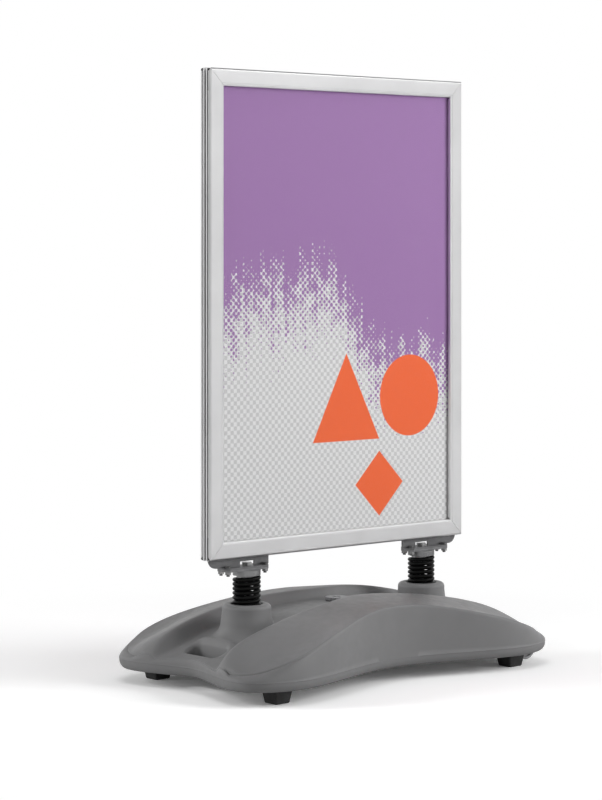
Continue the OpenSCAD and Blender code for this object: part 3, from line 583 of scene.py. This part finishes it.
def place_rail(face, side, s, d, u):
    """Places (along, depth, height) of one rail in the panel: side 0 is the bottom, then the reader's right,
    the top and the reader's left."""
    middle = 0.5 * (panel_low + panel_high)
    half = 0.5 * (panel_high - panel_low)
    if side == 0:
        x, z = s, u - half[2]
    elif side == 1:
        x, z = half[0] - u, s
    elif side == 2:
        x, z = -s, half[2] - u
    else:
        x, z = u - half[0], -s
    flip = 1 if face == "front" else -1
    return np.stack([flip * x, flip * (d - FACE_Y), z + middle[2]], -1)


def snap_rail(face, number, side):
    """The mitred rail: each end stands back from the corner by the height u, by the depth d and by the depth
    past the hinge line added to u, whichever is most, so that open rails clear each other too."""
    profile = rail_profile()
    d, u = profile[:, 0], profile[:, 1]
    length = (panel_high - panel_low)[2 if number % 2 else 0]
    end = length / 2 - MITRE - np.maximum(np.maximum(u, d + OPEN_GAP), u + d - NOSE_R)
    t = np.array([-1.0, -0.999, -0.5, 0, 0.5, 0.999, 1.0])[:, None]
    s = end * t
    points = place_rail(face, number, s, d + 0 * s, u + 0 * s).reshape(-1, 3)
    n = len(profile)
    caps = [np.arange(n)[None, ::-1], np.arange(n)[None, :] + (len(t) - 1) * n]
    piece = new_piece("rail_%s_%s" % (face, side), points * MM, [grid_faces(len(t), n)] + caps,
                      "snap_%s_%s" % (face, side), smooth=28)
    uv = piece.data.uv_layers.new(name="along")
    index = np.empty(len(piece.data.loops), np.int32)
    piece.data.loops.foreach_get("vertex_index", index)
    place = np.empty(len(piece.data.vertices) * 3)
    piece.data.vertices.foreach_get("co", place)
    place = place.reshape(-1, 3)[index]
    along = place[:, 2] if number % 2 else place[:, 0]
    across = place[:, 0] if number % 2 else place[:, 2]
    uv.data.foreach_set("uv", np.column_stack([along, across + 0.7 * place[:, 1]]).ravel().astype(np.float32))
    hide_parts("snap_%s_%s" % (face, side))
    return piece


# left and right are named as seen from the front, also on the back
for face, sides in (("front", ("bottom", "right", "top", "left")), ("back", ("bottom", "left", "top", "right"))):
    for number, side in enumerate(sides):
        piece = snap_rail(face, number, side)
        corners = np.array([v.co for v in piece.data.vertices])
        low, high = (np.array(v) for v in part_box("snap_%s_%s" % (face, side)))
        off = np.abs(corners.min(axis=0) - low).max(), np.abs(corners.max(axis=0) - high).max()
        print("  off the CAD's box by mm:", round(max(off) / MM, 2))

# %% [markdown]
# ## Clear sheets
# A thin clear sheet lies over each print and is held by the lips of the snap rails. The CAD lays it right on
# the print; a real one keeps a breath of air under it, and the two faces must not share one plane, or a ray
# of light finds now the one and now the other. So the sheet is a box again, a tenth of a millimetre thinner.

# %% Clear sheets over the prints
AIR = 0.0001


def clear_sheet(face):
    """A closed box with the corners of the CAD's sheet, its inner face moved away from the print by AIR."""
    low, high = (np.array(v, float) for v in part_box("cover_" + face))
    if face == "front":
        high[1] -= AIR
    else:
        low[1] += AIR
    corner = np.array([[0, 0, 0], [1, 0, 0], [1, 1, 0], [0, 1, 0], [0, 0, 1], [1, 0, 1], [1, 1, 1], [0, 1, 1]])
    sides = np.array([[0, 3, 2, 1], [4, 5, 6, 7], [0, 1, 5, 4], [1, 2, 6, 5], [2, 3, 7, 6], [3, 0, 4, 7]])
    sheet = new_piece("sheet_" + face, low + corner * (high - low), [sides], "panel")
    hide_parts("cover_" + face)


for face in ("front", "back"):
    clear_sheet(face)

# %% [markdown]
# ## Finishes
# Each finish is a small graph of shader nodes on Object coordinates. Noise at the scale of the real grain
# drives the roughness and a shallow bump, and the base colour drifts between two tones. One helper adds a node
# with its settings; the others build the few groups of nodes that every finish needs.

# %% Node helpers
def new_material(name):
    """A material with its node tree, its links and its Principled shader."""
    m = bpy.data.materials.new(name)
    m.use_nodes = True
    return m, m.node_tree.nodes, m.node_tree.links, m.node_tree.nodes["Principled BSDF"]


def node(nodes, kind, values=None, **settings):
    """Adds a node, sets its properties by name and its input sockets from a dictionary."""
    n = nodes.new(kind)
    for key, value in settings.items():
        setattr(n, key, value)
    for key, value in (values or {}).items():
        n.inputs[key].default_value = value
    return n


def noise(nodes, links, vector, scale, detail=3.0, rough=0.55):
    """Noise of the given scale per metre on a vector socket; gives the value socket."""
    n = node(nodes, "ShaderNodeTexNoise", {"Scale": scale, "Detail": detail, "Roughness": rough})
    links.new(vector, n.inputs["Vector"])
    return n.outputs["Fac"]


def spread(nodes, links, value, low, high, start=0.3, stop=0.7):
    """Maps a value between start and stop onto the range from low to high."""
    n = node(nodes, "ShaderNodeMapRange", {"From Min": start, "From Max": stop, "To Min": low, "To Max": high})
    links.new(value, n.inputs["Value"])
    return n.outputs["Result"]


def ramp(nodes, links, value, start, stop):
    """A soft step: 0 before start and 1 past stop, with a level beginning and end."""
    n = node(nodes, "ShaderNodeMapRange", {"From Min": start, "From Max": stop}, interpolation_type="SMOOTHSTEP")
    links.new(value, n.inputs["Value"])
    return n.outputs["Result"]


def bump(nodes, links, height, strength, distance):
    """A bump node on a height socket; gives the normal socket."""
    n = node(nodes, "ShaderNodeBump", {"Strength": strength, "Distance": distance})
    links.new(height, n.inputs["Height"])
    return n.outputs["Normal"]


def two_tones(nodes, links, factor, dark, light):
    """Mixes two colours by a factor socket; gives the colour socket."""
    n = node(nodes, "ShaderNodeMix", data_type="RGBA")
    n.inputs[6].default_value = (*dark, 1)
    n.inputs[7].default_value = (*light, 1)
    links.new(factor, n.inputs["Factor"])
    return n.outputs[2]


def grained(name, dark, light, rough, grain, depth, metal=0.0, patches=18.0, sheen=0.5, stretch=(1, 1, 1)):
    """A finish with a fine grain: the colour drifts between two tones over patches, the roughness between two
    values, and a bump of the grain's scale per metre breaks up the highlights. Sheen is the specular level."""
    m, nodes, links, shader = new_material(name)
    place = node(nodes, "ShaderNodeTexCoord").outputs["Object"]
    turn = node(nodes, "ShaderNodeMapping", {"Scale": stretch})
    links.new(place, turn.inputs["Vector"])
    place = turn.outputs["Vector"]
    drift = spread(nodes, links, noise(nodes, links, place, patches), 0, 1)
    links.new(two_tones(nodes, links, drift, dark, light), shader.inputs["Base Color"])
    wear = noise(nodes, links, place, patches * 7)
    links.new(spread(nodes, links, wear, rough[0], rough[1]), shader.inputs["Roughness"])
    links.new(bump(nodes, links, noise(nodes, links, place, grain), 0.6, depth), shader.inputs["Normal"])
    shader.inputs["Metallic"].default_value = metal
    shader.inputs["Specular IOR Level"].default_value = sheen
    return m


# %% Plastic, rubber and steel
FINISHES = {
    "tank_plastic": grained(
        "moulded_polyethylene", (0.166, 0.166, 0.168), (0.184, 0.184, 0.186), (0.42, 0.54), 900, 0.00012, patches=9),
    "foot_rubber": grained(
        "foot_rubber", (0.024,) * 3, (0.044,) * 3, (0.6, 0.75), 1500, 0.0001, patches=60),
    "wheel_plastic": grained(
        "wheel_plastic", (0.220, 0.220, 0.226), (0.280, 0.280, 0.286), (0.4, 0.5), 1200, 0.0001, patches=40),
    "cap_plastic": grained(
        "cap_plastic", (0.150, 0.150, 0.156), (0.190, 0.190, 0.196), (0.35, 0.48), 1400, 0.00008, patches=60),
    "gasket_rubber": grained(
        "gasket_rubber", (0.024,) * 3, (0.040,) * 3, (0.6, 0.8), 1500, 0.0001, patches=60),
    "spring_steel_black": grained(
        "black_powder_coat", (0.003,) * 3, (0.006,) * 3, (0.26, 0.36), 1100, 0.00006,
        patches=50, sheen=0.12),
    "seat_plastic": grained(
        "seat_plastic", (0.080,) * 3, (0.100,) * 3, (0.45, 0.55), 1200, 0.0001, patches=50),
    "bright_zinc": grained(
        "turned_zinc", (0.240, 0.240, 0.245), (0.340, 0.340, 0.345), (0.28, 0.38), 1600, 0.00004,
        metal=1, stretch=(0.05, 0.05, 1)),
    "plate_zinc": grained(
        "plate_zinc", (0.200, 0.200, 0.206), (0.288, 0.288, 0.294), (0.34, 0.5), 900, 0.00005,
        metal=0.8, patches=55),
    "bracket_steel": grained(
        "bracket_steel", (0.135, 0.135, 0.139), (0.180, 0.180, 0.184), (0.38, 0.52), 900, 0.00005,
        metal=0.3, patches=45),
    "fastener_zinc": grained(
        "fastener_zinc", (0.300,) * 3, (0.450,) * 3, (0.22, 0.36), 1500, 0.00003,
        metal=1, patches=120),
    "backing_plastic": grained(
        "backing_sheet", (0.720,) * 3, (0.800,) * 3, (0.45, 0.6), 700, 0.00005, patches=20),
    "key_plastic": grained(
        "key_plastic", (0.040,) * 3, (0.060,) * 3, (0.5, 0.6), 1200, 0.0001, patches=50),
    "dark_bolt": grained(
        "blackened_bolt", (0.090,) * 3, (0.162,) * 3, (0.3, 0.42), 1500, 0.00003,
        metal=0.6, patches=120),
    "leaf_steel": grained(
        "leaf_steel", (0.500,) * 3, (0.688,) * 3, (0.25, 0.4), 1500, 0.00004,
        metal=1, patches=90),
    "spacer_plastic": grained(
        "spacer_foam", (0.040,) * 3, (0.070,) * 3, (0.7, 0.85), 800, 0.0004, patches=70),
}
print(len(FINISHES), "finishes so far")

# %% [markdown]
# ## Anodised aluminium
# Satin anodised aluminium is brushed along the rail before it is anodised. The brushing is noise stretched more
# than two hundred times along the rail, so it needs the rail's own UV map, where u runs along it.

# %% Anodised finish
def anodised(name, mapped):
    """Metal with fine lines along the rail: on the UV map of a snap rail, or on Object coordinates."""
    m, nodes, links, shader = new_material(name)
    coordinates = node(nodes, "ShaderNodeTexCoord")
    place = coordinates.outputs["Object"]
    if mapped:
        place = node(nodes, "ShaderNodeUVMap", uv_map="along").outputs["UV"]
    turn = node(nodes, "ShaderNodeMapping", {"Scale": (6, 1400, 1) if mapped else (40, 40, 40)})
    links.new(place, turn.inputs["Vector"])
    lines = noise(nodes, links, turn.outputs["Vector"], 1.0, detail=4)
    cloud = spread(nodes, links, noise(nodes, links, coordinates.outputs["Object"], 7), 0, 1)
    tone = two_tones(nodes, links, cloud, (0.80, 0.80, 0.805), (0.88, 0.88, 0.885))
    links.new(tone, shader.inputs["Base Color"])
    links.new(spread(nodes, links, lines, 0.36, 0.48), shader.inputs["Roughness"])
    links.new(bump(nodes, links, lines, 0.25, 0.00002), shader.inputs["Normal"])
    shader.inputs["Metallic"].default_value = 1.0
    return m


rail_metal = anodised("anodised_rail", True)
FINISHES["anodised_aluminium"] = anodised("anodised_profile", False)
print("two finishes for aluminium:", rail_metal.name, "and", FINISHES["anodised_aluminium"].name)

# %% [markdown]
# ## The cover sheet
# A thin clear sheet with an anti-glare face lies over the print. It lets nearly all light through, so it is
# drawn with a low alpha: what stays is a faint, soft sheen.

# %% Clear cover
cover, nodes, links, shader = new_material("clear_cover")
place = node(nodes, "ShaderNodeTexCoord").outputs["Object"]
links.new(spread(nodes, links, noise(nodes, links, place, 30), 0.30, 0.36), shader.inputs["Roughness"])
links.new(bump(nodes, links, noise(nodes, links, place, 1600), 0.2, 0.00002), shader.inputs["Normal"])
shader.inputs["Base Color"].default_value = (0.95, 0.96, 0.97, 1)
shader.inputs["Alpha"].default_value = 0.02
FINISHES["cover_clear"] = cover
print(cover.name, "lets through", round(1 - shader.inputs["Alpha"].default_value, 2))

# %% [markdown]
# ## The print
# The poster is a plain layout of its own: a strong purple field whose lower edge runs in a long wave and breaks
# into streaks and halftone dots, over a fine grey checker, with three orange shapes. It is arithmetic on the
# sheet's own x and z, so it stays sharp at any size. A small set of functions writes the arithmetic as nodes.

# %% Arithmetic for shader nodes
class Sums:
    """Writes arithmetic as Math nodes: each call joins sockets or numbers and gives the result's socket."""

    def __init__(self, tree):
        """Keeps the node tree that the nodes go into."""
        self.nodes, self.links = tree.nodes, tree.links

    def do(self, operation, *terms):
        """One Math node on sockets or plain numbers."""
        n = node(self.nodes, "ShaderNodeMath", operation=operation)
        for socket, term in zip(n.inputs, terms):
            if isinstance(term, (int, float)):
                socket.default_value = term
            else:
                self.links.new(term, socket)
        return n.outputs[0]

    def soft_step(self, value, edge, width):
        """0 below the edge and 1 above it, with a ramp of the given width."""
        return ramp(self.nodes, self.links, value, edge - width / 2, edge + width / 2)

    def blend(self, factor, under, over):
        """Mixes two colours, each a tuple or a socket."""
        n = node(self.nodes, "ShaderNodeMix", data_type="RGBA")
        self.links.new(factor, n.inputs["Factor"])
        for socket, colour in ((n.inputs[6], under), (n.inputs[7], over)):
            if isinstance(colour, tuple):
                socket.default_value = (*colour, 1)
            else:
                self.links.new(colour, socket)
        return n.outputs[2]


# %% Printed poster
PURPLE = (0.280, 0.136, 0.345)
ORANGE = (0.78, 0.095, 0.0)
PALE, GREY = (0.70,) * 3, (0.52, 0.52, 0.525)
middle_z = 0.5 * (panel_low[2] + panel_high[2]) * MM


def printed(name, way):
    """The print on one face; way is 1 where the reader's right is +x, and -1 on the other face."""
    m, nodes, links, shader = new_material(name)
    sums = Sums(m.node_tree)
    split = node(nodes, "ShaderNodeSeparateXYZ")
    links.new(node(nodes, "ShaderNodeTexCoord").outputs["Object"], split.inputs[0])
    x = sums.do("MULTIPLY", split.outputs["X"], float(way))
    z = sums.do("SUBTRACT", split.outputs["Z"], float(middle_z))
    flat = node(nodes, "ShaderNodeCombineXYZ")
    links.new(x, flat.inputs[0])
    links.new(z, flat.inputs[1])
    # the wave: a long and a short cosine, with streaks of noise that is thin across and long down
    wave = sums.do("MULTIPLY", sums.do("COSINE", sums.do("MULTIPLY_ADD", x, 9.0, 1.1)), 0.09)
    short = sums.do("MULTIPLY", sums.do("COSINE", sums.do("MULTIPLY_ADD", x, 27.0, 0.4)), 0.022)
    thin = node(nodes, "ShaderNodeMapping", {"Scale": (95, 5, 1)})
    links.new(flat.outputs[0], thin.inputs["Vector"])
    brush = noise(nodes, links, thin.outputs[0], 1.0, 4, 0.6)
    streak = sums.do("MULTIPLY", sums.do("SUBTRACT", brush, 0.5), 0.32)
    edge = sums.do("ADD", sums.do("ADD", wave, short), sums.do("ADD", streak, 0.02))
    above = sums.do("SUBTRACT", z, edge)
    field = sums.soft_step(above, 0.0, 0.0012)
    # halftone: dots on a square grid turned by 45 degrees, that shrink with the distance below the wave
    turned = node(nodes, "ShaderNodeMapping", {"Rotation": (0, 0, math.radians(45)), "Scale": (118, 118, 1)})
    links.new(flat.outputs[0], turned.inputs["Vector"])
    cell = node(nodes, "ShaderNodeVectorMath", operation="FRACTION")
    links.new(turned.outputs[0], cell.inputs[0])
    dot = node(nodes, "ShaderNodeVectorMath", operation="DISTANCE")
    links.new(cell.outputs[0], dot.inputs[0])
    dot.inputs[1].default_value = (0.5, 0.5, 0)
    mottle = noise(nodes, links, flat.outputs[0], 38, 3)
    uneven = sums.do("MULTIPLY", sums.do("SUBTRACT", mottle, 0.5), 0.9)
    size = sums.do("ADD", sums.do("MULTIPLY_ADD", above, 3.4, 0.62), uneven)
    dots = sums.soft_step(sums.do("SUBTRACT", size, dot.outputs["Value"]), 0.0, 0.08)
    ink = sums.do("MAXIMUM", field, dots)
    board = node(nodes, "ShaderNodeTexChecker", {"Scale": 132.0, "Color1": (*PALE, 1), "Color2": (*GREY, 1)})
    links.new(flat.outputs[0], board.inputs["Vector"])
    colour = sums.blend(ink, board.outputs["Color"], PURPLE)
    # three orange shapes: each is 1 inside and 0 outside
    def disc(cx, cz, r):
        """Radius less the distance from the middle."""
        dx, dz = sums.do("SUBTRACT", x, cx), sums.do("SUBTRACT", z, cz)
        far = sums.do("SQRT", sums.do("ADD", sums.do("MULTIPLY", dx, dx), sums.do("MULTIPLY", dz, dz)))
        return sums.soft_step(sums.do("SUBTRACT", r, far), 0.0, 0.0008)

    def diamond(cx, cz, r):
        """Radius less the sum of the distances across and up."""
        across = sums.do("ABSOLUTE", sums.do("SUBTRACT", x, cx))
        far = sums.do("ADD", across, sums.do("ABSOLUTE", sums.do("SUBTRACT", z, cz)))
        return sums.soft_step(sums.do("SUBTRACT", r, far), 0.0, 0.001)

    def triangle(cx, low, half, tall):
        """The smaller of the distances below the slanting sides and above the base."""
        side = sums.do("ADD", sums.do("MULTIPLY", sums.do("ABSOLUTE", sums.do("SUBTRACT", x, cx)), tall / half),
                       sums.do("SUBTRACT", z, low))
        inside = sums.do("MINIMUM", sums.do("SUBTRACT", tall, side), sums.do("SUBTRACT", z, low))
        return sums.soft_step(inside, 0.0, 0.0012)

    shapes = sums.do("MAXIMUM", triangle(0.02, -0.245, 0.085, 0.165),
                     sums.do("MAXIMUM", disc(0.185, -0.165, 0.078), diamond(0.105, -0.33, 0.062)))
    colour = sums.blend(shapes, colour, ORANGE)
    links.new(colour, shader.inputs["Base Color"])
    paper = noise(nodes, links, flat.outputs[0], 500)
    links.new(spread(nodes, links, paper, 0.50, 0.56), shader.inputs["Roughness"])
    links.new(bump(nodes, links, paper, 0.05, 0.000004), shader.inputs["Normal"])
    return m


prints = {"poster_front": printed("print_front", 1), "poster_back": printed("print_back", -1)}
print("prints of", len(prints["poster_front"].node_tree.nodes), "nodes each")

# %% [markdown]
# ## Dressing the pieces
# Each CAD node takes the finish that its record names, save the posters, which have their prints, and the bolts
# of the plates, which are blackened. The pieces made above take theirs by the first word of their name.

# %% Finishes on every piece
slots = {row["node"]: row["material_slot"] for row in frame["record"]["subparts"]}
for name, obj in frame["nodes"].items():
    slot = "dark_bolt" if name.startswith("plate_bolts") else slots[name]
    obj.data.materials.clear()
    obj.data.materials.append(prints.get(name) or FINISHES[slot])
for obj in bpy.context.scene.objects:
    if obj.type == "MESH" and obj not in frame["nodes"].values() and not obj.data.materials:
        wanted = obj.name.split("_")[0]
        finish = {"tank": "tank_plastic", "coil": "spring_steel_black", "rubber": "foot_rubber",
                  "sheet": "cover_clear"}.get(wanted)
        obj.data.materials.append(FINISHES[finish] if finish else rail_metal)

# %% [markdown]
# ## The camera
# The sign is seen from about chest height and a few metres away, from the left of its front face, through a
# long lens. The camera is level, and a small shift puts the sign in the middle of the frame.

# %% Camera
camera_data = bpy.data.cameras.new("camera")
camera = bpy.data.objects.new("camera", camera_data)
bpy.context.scene.collection.objects.link(camera)
camera.location = (-3.226, -3.529, 0.812)
camera.rotation_euler = (math.radians(90), 0, math.radians(-41.63))
camera_data.lens = 114.4
camera_data.sensor_width = 36
camera_data.shift_y = -0.2
bpy.context.scene.camera = camera
print("camera", round(math.hypot(*camera.location[:2]), 2), "m from the middle, lens", camera_data.lens)

# %% [markdown]
# ## Floor
# The floor keeps the sign's soft shadow near it and fades to plain white further out, a mix that follows the
# distance from the middle. Light Path splits it in two: the camera sees this white floor, while the light that
# the floor throws back onto the sign is that of a grey one, so that the lower walls do not glow.

# %% Floor
scene = bpy.context.scene
scene.view_settings.view_transform = "Standard"
FLOOR_LIFT = 0.06
FLOOR_WHITE = 1.14
FLOOR_BOUNCE = 0.6
FADE_FROM, FADE_TO = 0.5, 1.3
floor_mesh = bpy.data.meshes.new("floor")
floor_mesh.from_pydata([(-40, -40, 0), (40, -40, 0), (40, 40, 0), (-40, 40, 0)], [], [(0, 1, 2, 3)])
floor = bpy.data.objects.new("floor", floor_mesh)
scene.collection.objects.link(floor)
pale, nodes, links, shader = new_material("pale_floor")
shader.inputs["Base Color"].default_value = (FLOOR_WHITE, FLOOR_WHITE, FLOOR_WHITE, 1)
shader.inputs["Roughness"].default_value = 0.9
shader.inputs["Specular IOR Level"].default_value = 0.0
seen = node(nodes, "ShaderNodeLightPath")
lift = node(nodes, "ShaderNodeEmission", {"Strength": FLOOR_LIFT})
near = node(nodes, "ShaderNodeAddShader")
links.new(shader.outputs[0], near.inputs[0])
links.new(lift.outputs[0], near.inputs[1])
reach = node(nodes, "ShaderNodeVectorMath", operation="LENGTH")
links.new(node(nodes, "ShaderNodeTexCoord").outputs["Object"], reach.inputs[0])
far = node(nodes, "ShaderNodeEmission", {"Strength": 1.0})
fade = node(nodes, "ShaderNodeMixShader")
links.new(ramp(nodes, links, reach.outputs["Value"], FADE_FROM, FADE_TO), fade.inputs[0])
links.new(near.outputs[0], fade.inputs[1])
links.new(far.outputs[0], fade.inputs[2])
choose = node(nodes, "ShaderNodeMixShader")
bounce = node(nodes, "ShaderNodeBsdfDiffuse", {"Color": (FLOOR_BOUNCE, FLOOR_BOUNCE, FLOOR_BOUNCE, 1)})
links.new(seen.outputs["Is Camera Ray"], choose.inputs[0])
links.new(bounce.outputs[0], choose.inputs[1])
links.new(fade.outputs[0], choose.inputs[2])
links.new(choose.outputs[0], nodes["Material Output"].inputs["Surface"])
floor_mesh.materials.append(pale)
print("floor fades to white from", FADE_FROM, "to", FADE_TO, "m")

# %% [markdown]
# ## Background
# The background that the camera and the metal see is white too, again through Light Path, while the light that
# the world really gives stays low. What a surface mirrors is darkened overhead and in one strip on the left.
# Bare white all round would leave the satin rails without an edge; the dark parts draw a line along them.

# %% World
MIRROR_DARK = 0.85
WORLD_LIGHT = 0.22
OVERHEAD = (0.35, 0.7)
STRIP = (-0.88, -0.97)
world = bpy.data.worlds.new("world")
scene.world = world
world.use_nodes = True
nodes, links = world.node_tree.nodes, world.node_tree.links
nodes["Background"].inputs["Color"].default_value = (1, 1, 1, 1)
nodes["Background"].inputs["Strength"].default_value = WORLD_LIGHT
seen = node(nodes, "ShaderNodeLightPath")
either = node(nodes, "ShaderNodeMath", operation="MAXIMUM")
links.new(seen.outputs["Is Camera Ray"], either.inputs[0])
links.new(seen.outputs["Is Transmission Ray"], either.inputs[1])
polished = node(nodes, "ShaderNodeMath", operation="MULTIPLY_ADD", use_clamp=True)
links.new(seen.outputs["Is Glossy Ray"], polished.inputs[0])
polished.inputs[1].default_value = 1.0
links.new(either.outputs[0], polished.inputs[2])
way = node(nodes, "ShaderNodeSeparateXYZ")
links.new(node(nodes, "ShaderNodeTexCoord").outputs["Generated"], way.inputs[0])
dark = node(nodes, "ShaderNodeMath", operation="MAXIMUM")
links.new(ramp(nodes, links, way.outputs["Z"], *OVERHEAD), dark.inputs[0])
links.new(ramp(nodes, links, way.outputs["X"], *STRIP), dark.inputs[1])
mirrored = node(nodes, "ShaderNodeMath", operation="MULTIPLY")
links.new(seen.outputs["Is Glossy Ray"], mirrored.inputs[0])
links.new(dark.outputs[0], mirrored.inputs[1])
strength = node(nodes, "ShaderNodeMath", operation="MULTIPLY_ADD")
links.new(mirrored.outputs[0], strength.inputs[0])
strength.inputs[1].default_value = -MIRROR_DARK
strength.inputs[2].default_value = 1.0
white = node(nodes, "ShaderNodeBackground", {"Color": (1, 1, 1, 1)})
links.new(strength.outputs[0], white.inputs["Strength"])
mix = node(nodes, "ShaderNodeMixShader")
links.new(polished.outputs[0], mix.inputs[0])
links.new(nodes["Background"].outputs[0], mix.inputs[1])
links.new(white.outputs[0], mix.inputs[2])
links.new(mix.outputs[0], nodes["World Output"].inputs["Surface"])
print("world light", WORLD_LIGHT, "and mirrored white down to", round(1 - MIRROR_DARK, 2))

# %% [markdown]
# ## Lamps
# A large soft key stands in front on the right and a smaller one above it, a broad one hangs overhead so that
# tops are lighter than walls, and a tall narrow one behind on the left lights the far ends. Only the second
# shows in metal; the others would burn out the rails.

# %% Lamps
def soft_lamp(name, place, aim, size, watts):
    """A rectangular area lamp at a place, turned towards a point."""
    data = bpy.data.lights.new(name, "AREA")
    data.shape = "RECTANGLE"
    data.size, data.size_y = size
    data.energy = watts
    lamp = bpy.data.objects.new(name, data)
    scene.collection.objects.link(lamp)
    lamp.location = place
    way = np.array(aim, float) - np.array(place, float)
    lamp.rotation_euler = (math.acos(-way[2] / np.linalg.norm(way)), 0, math.atan2(-way[0], way[1]))
    print("lamp", name, watts, "W")
    return lamp


soft_lamp("key", (3.2, -4.2, 2.2), (0, 0, 0.6), (3.0, 3.0), 235).visible_glossy = False
soft_lamp("sheen", (3.0, -3.4, 3.6), (0, 0, 0.8), (2.4, 1.4), 30)
soft_lamp("above", (-1.4, -1.2, 4.2), (0, 0, 0.5), (2.4, 2.4), 40).visible_glossy = False
soft_lamp("left", (-3.4, 2.4, 1.5), (0, 0, 0.4), (1.2, 2.4), 120).visible_glossy = False
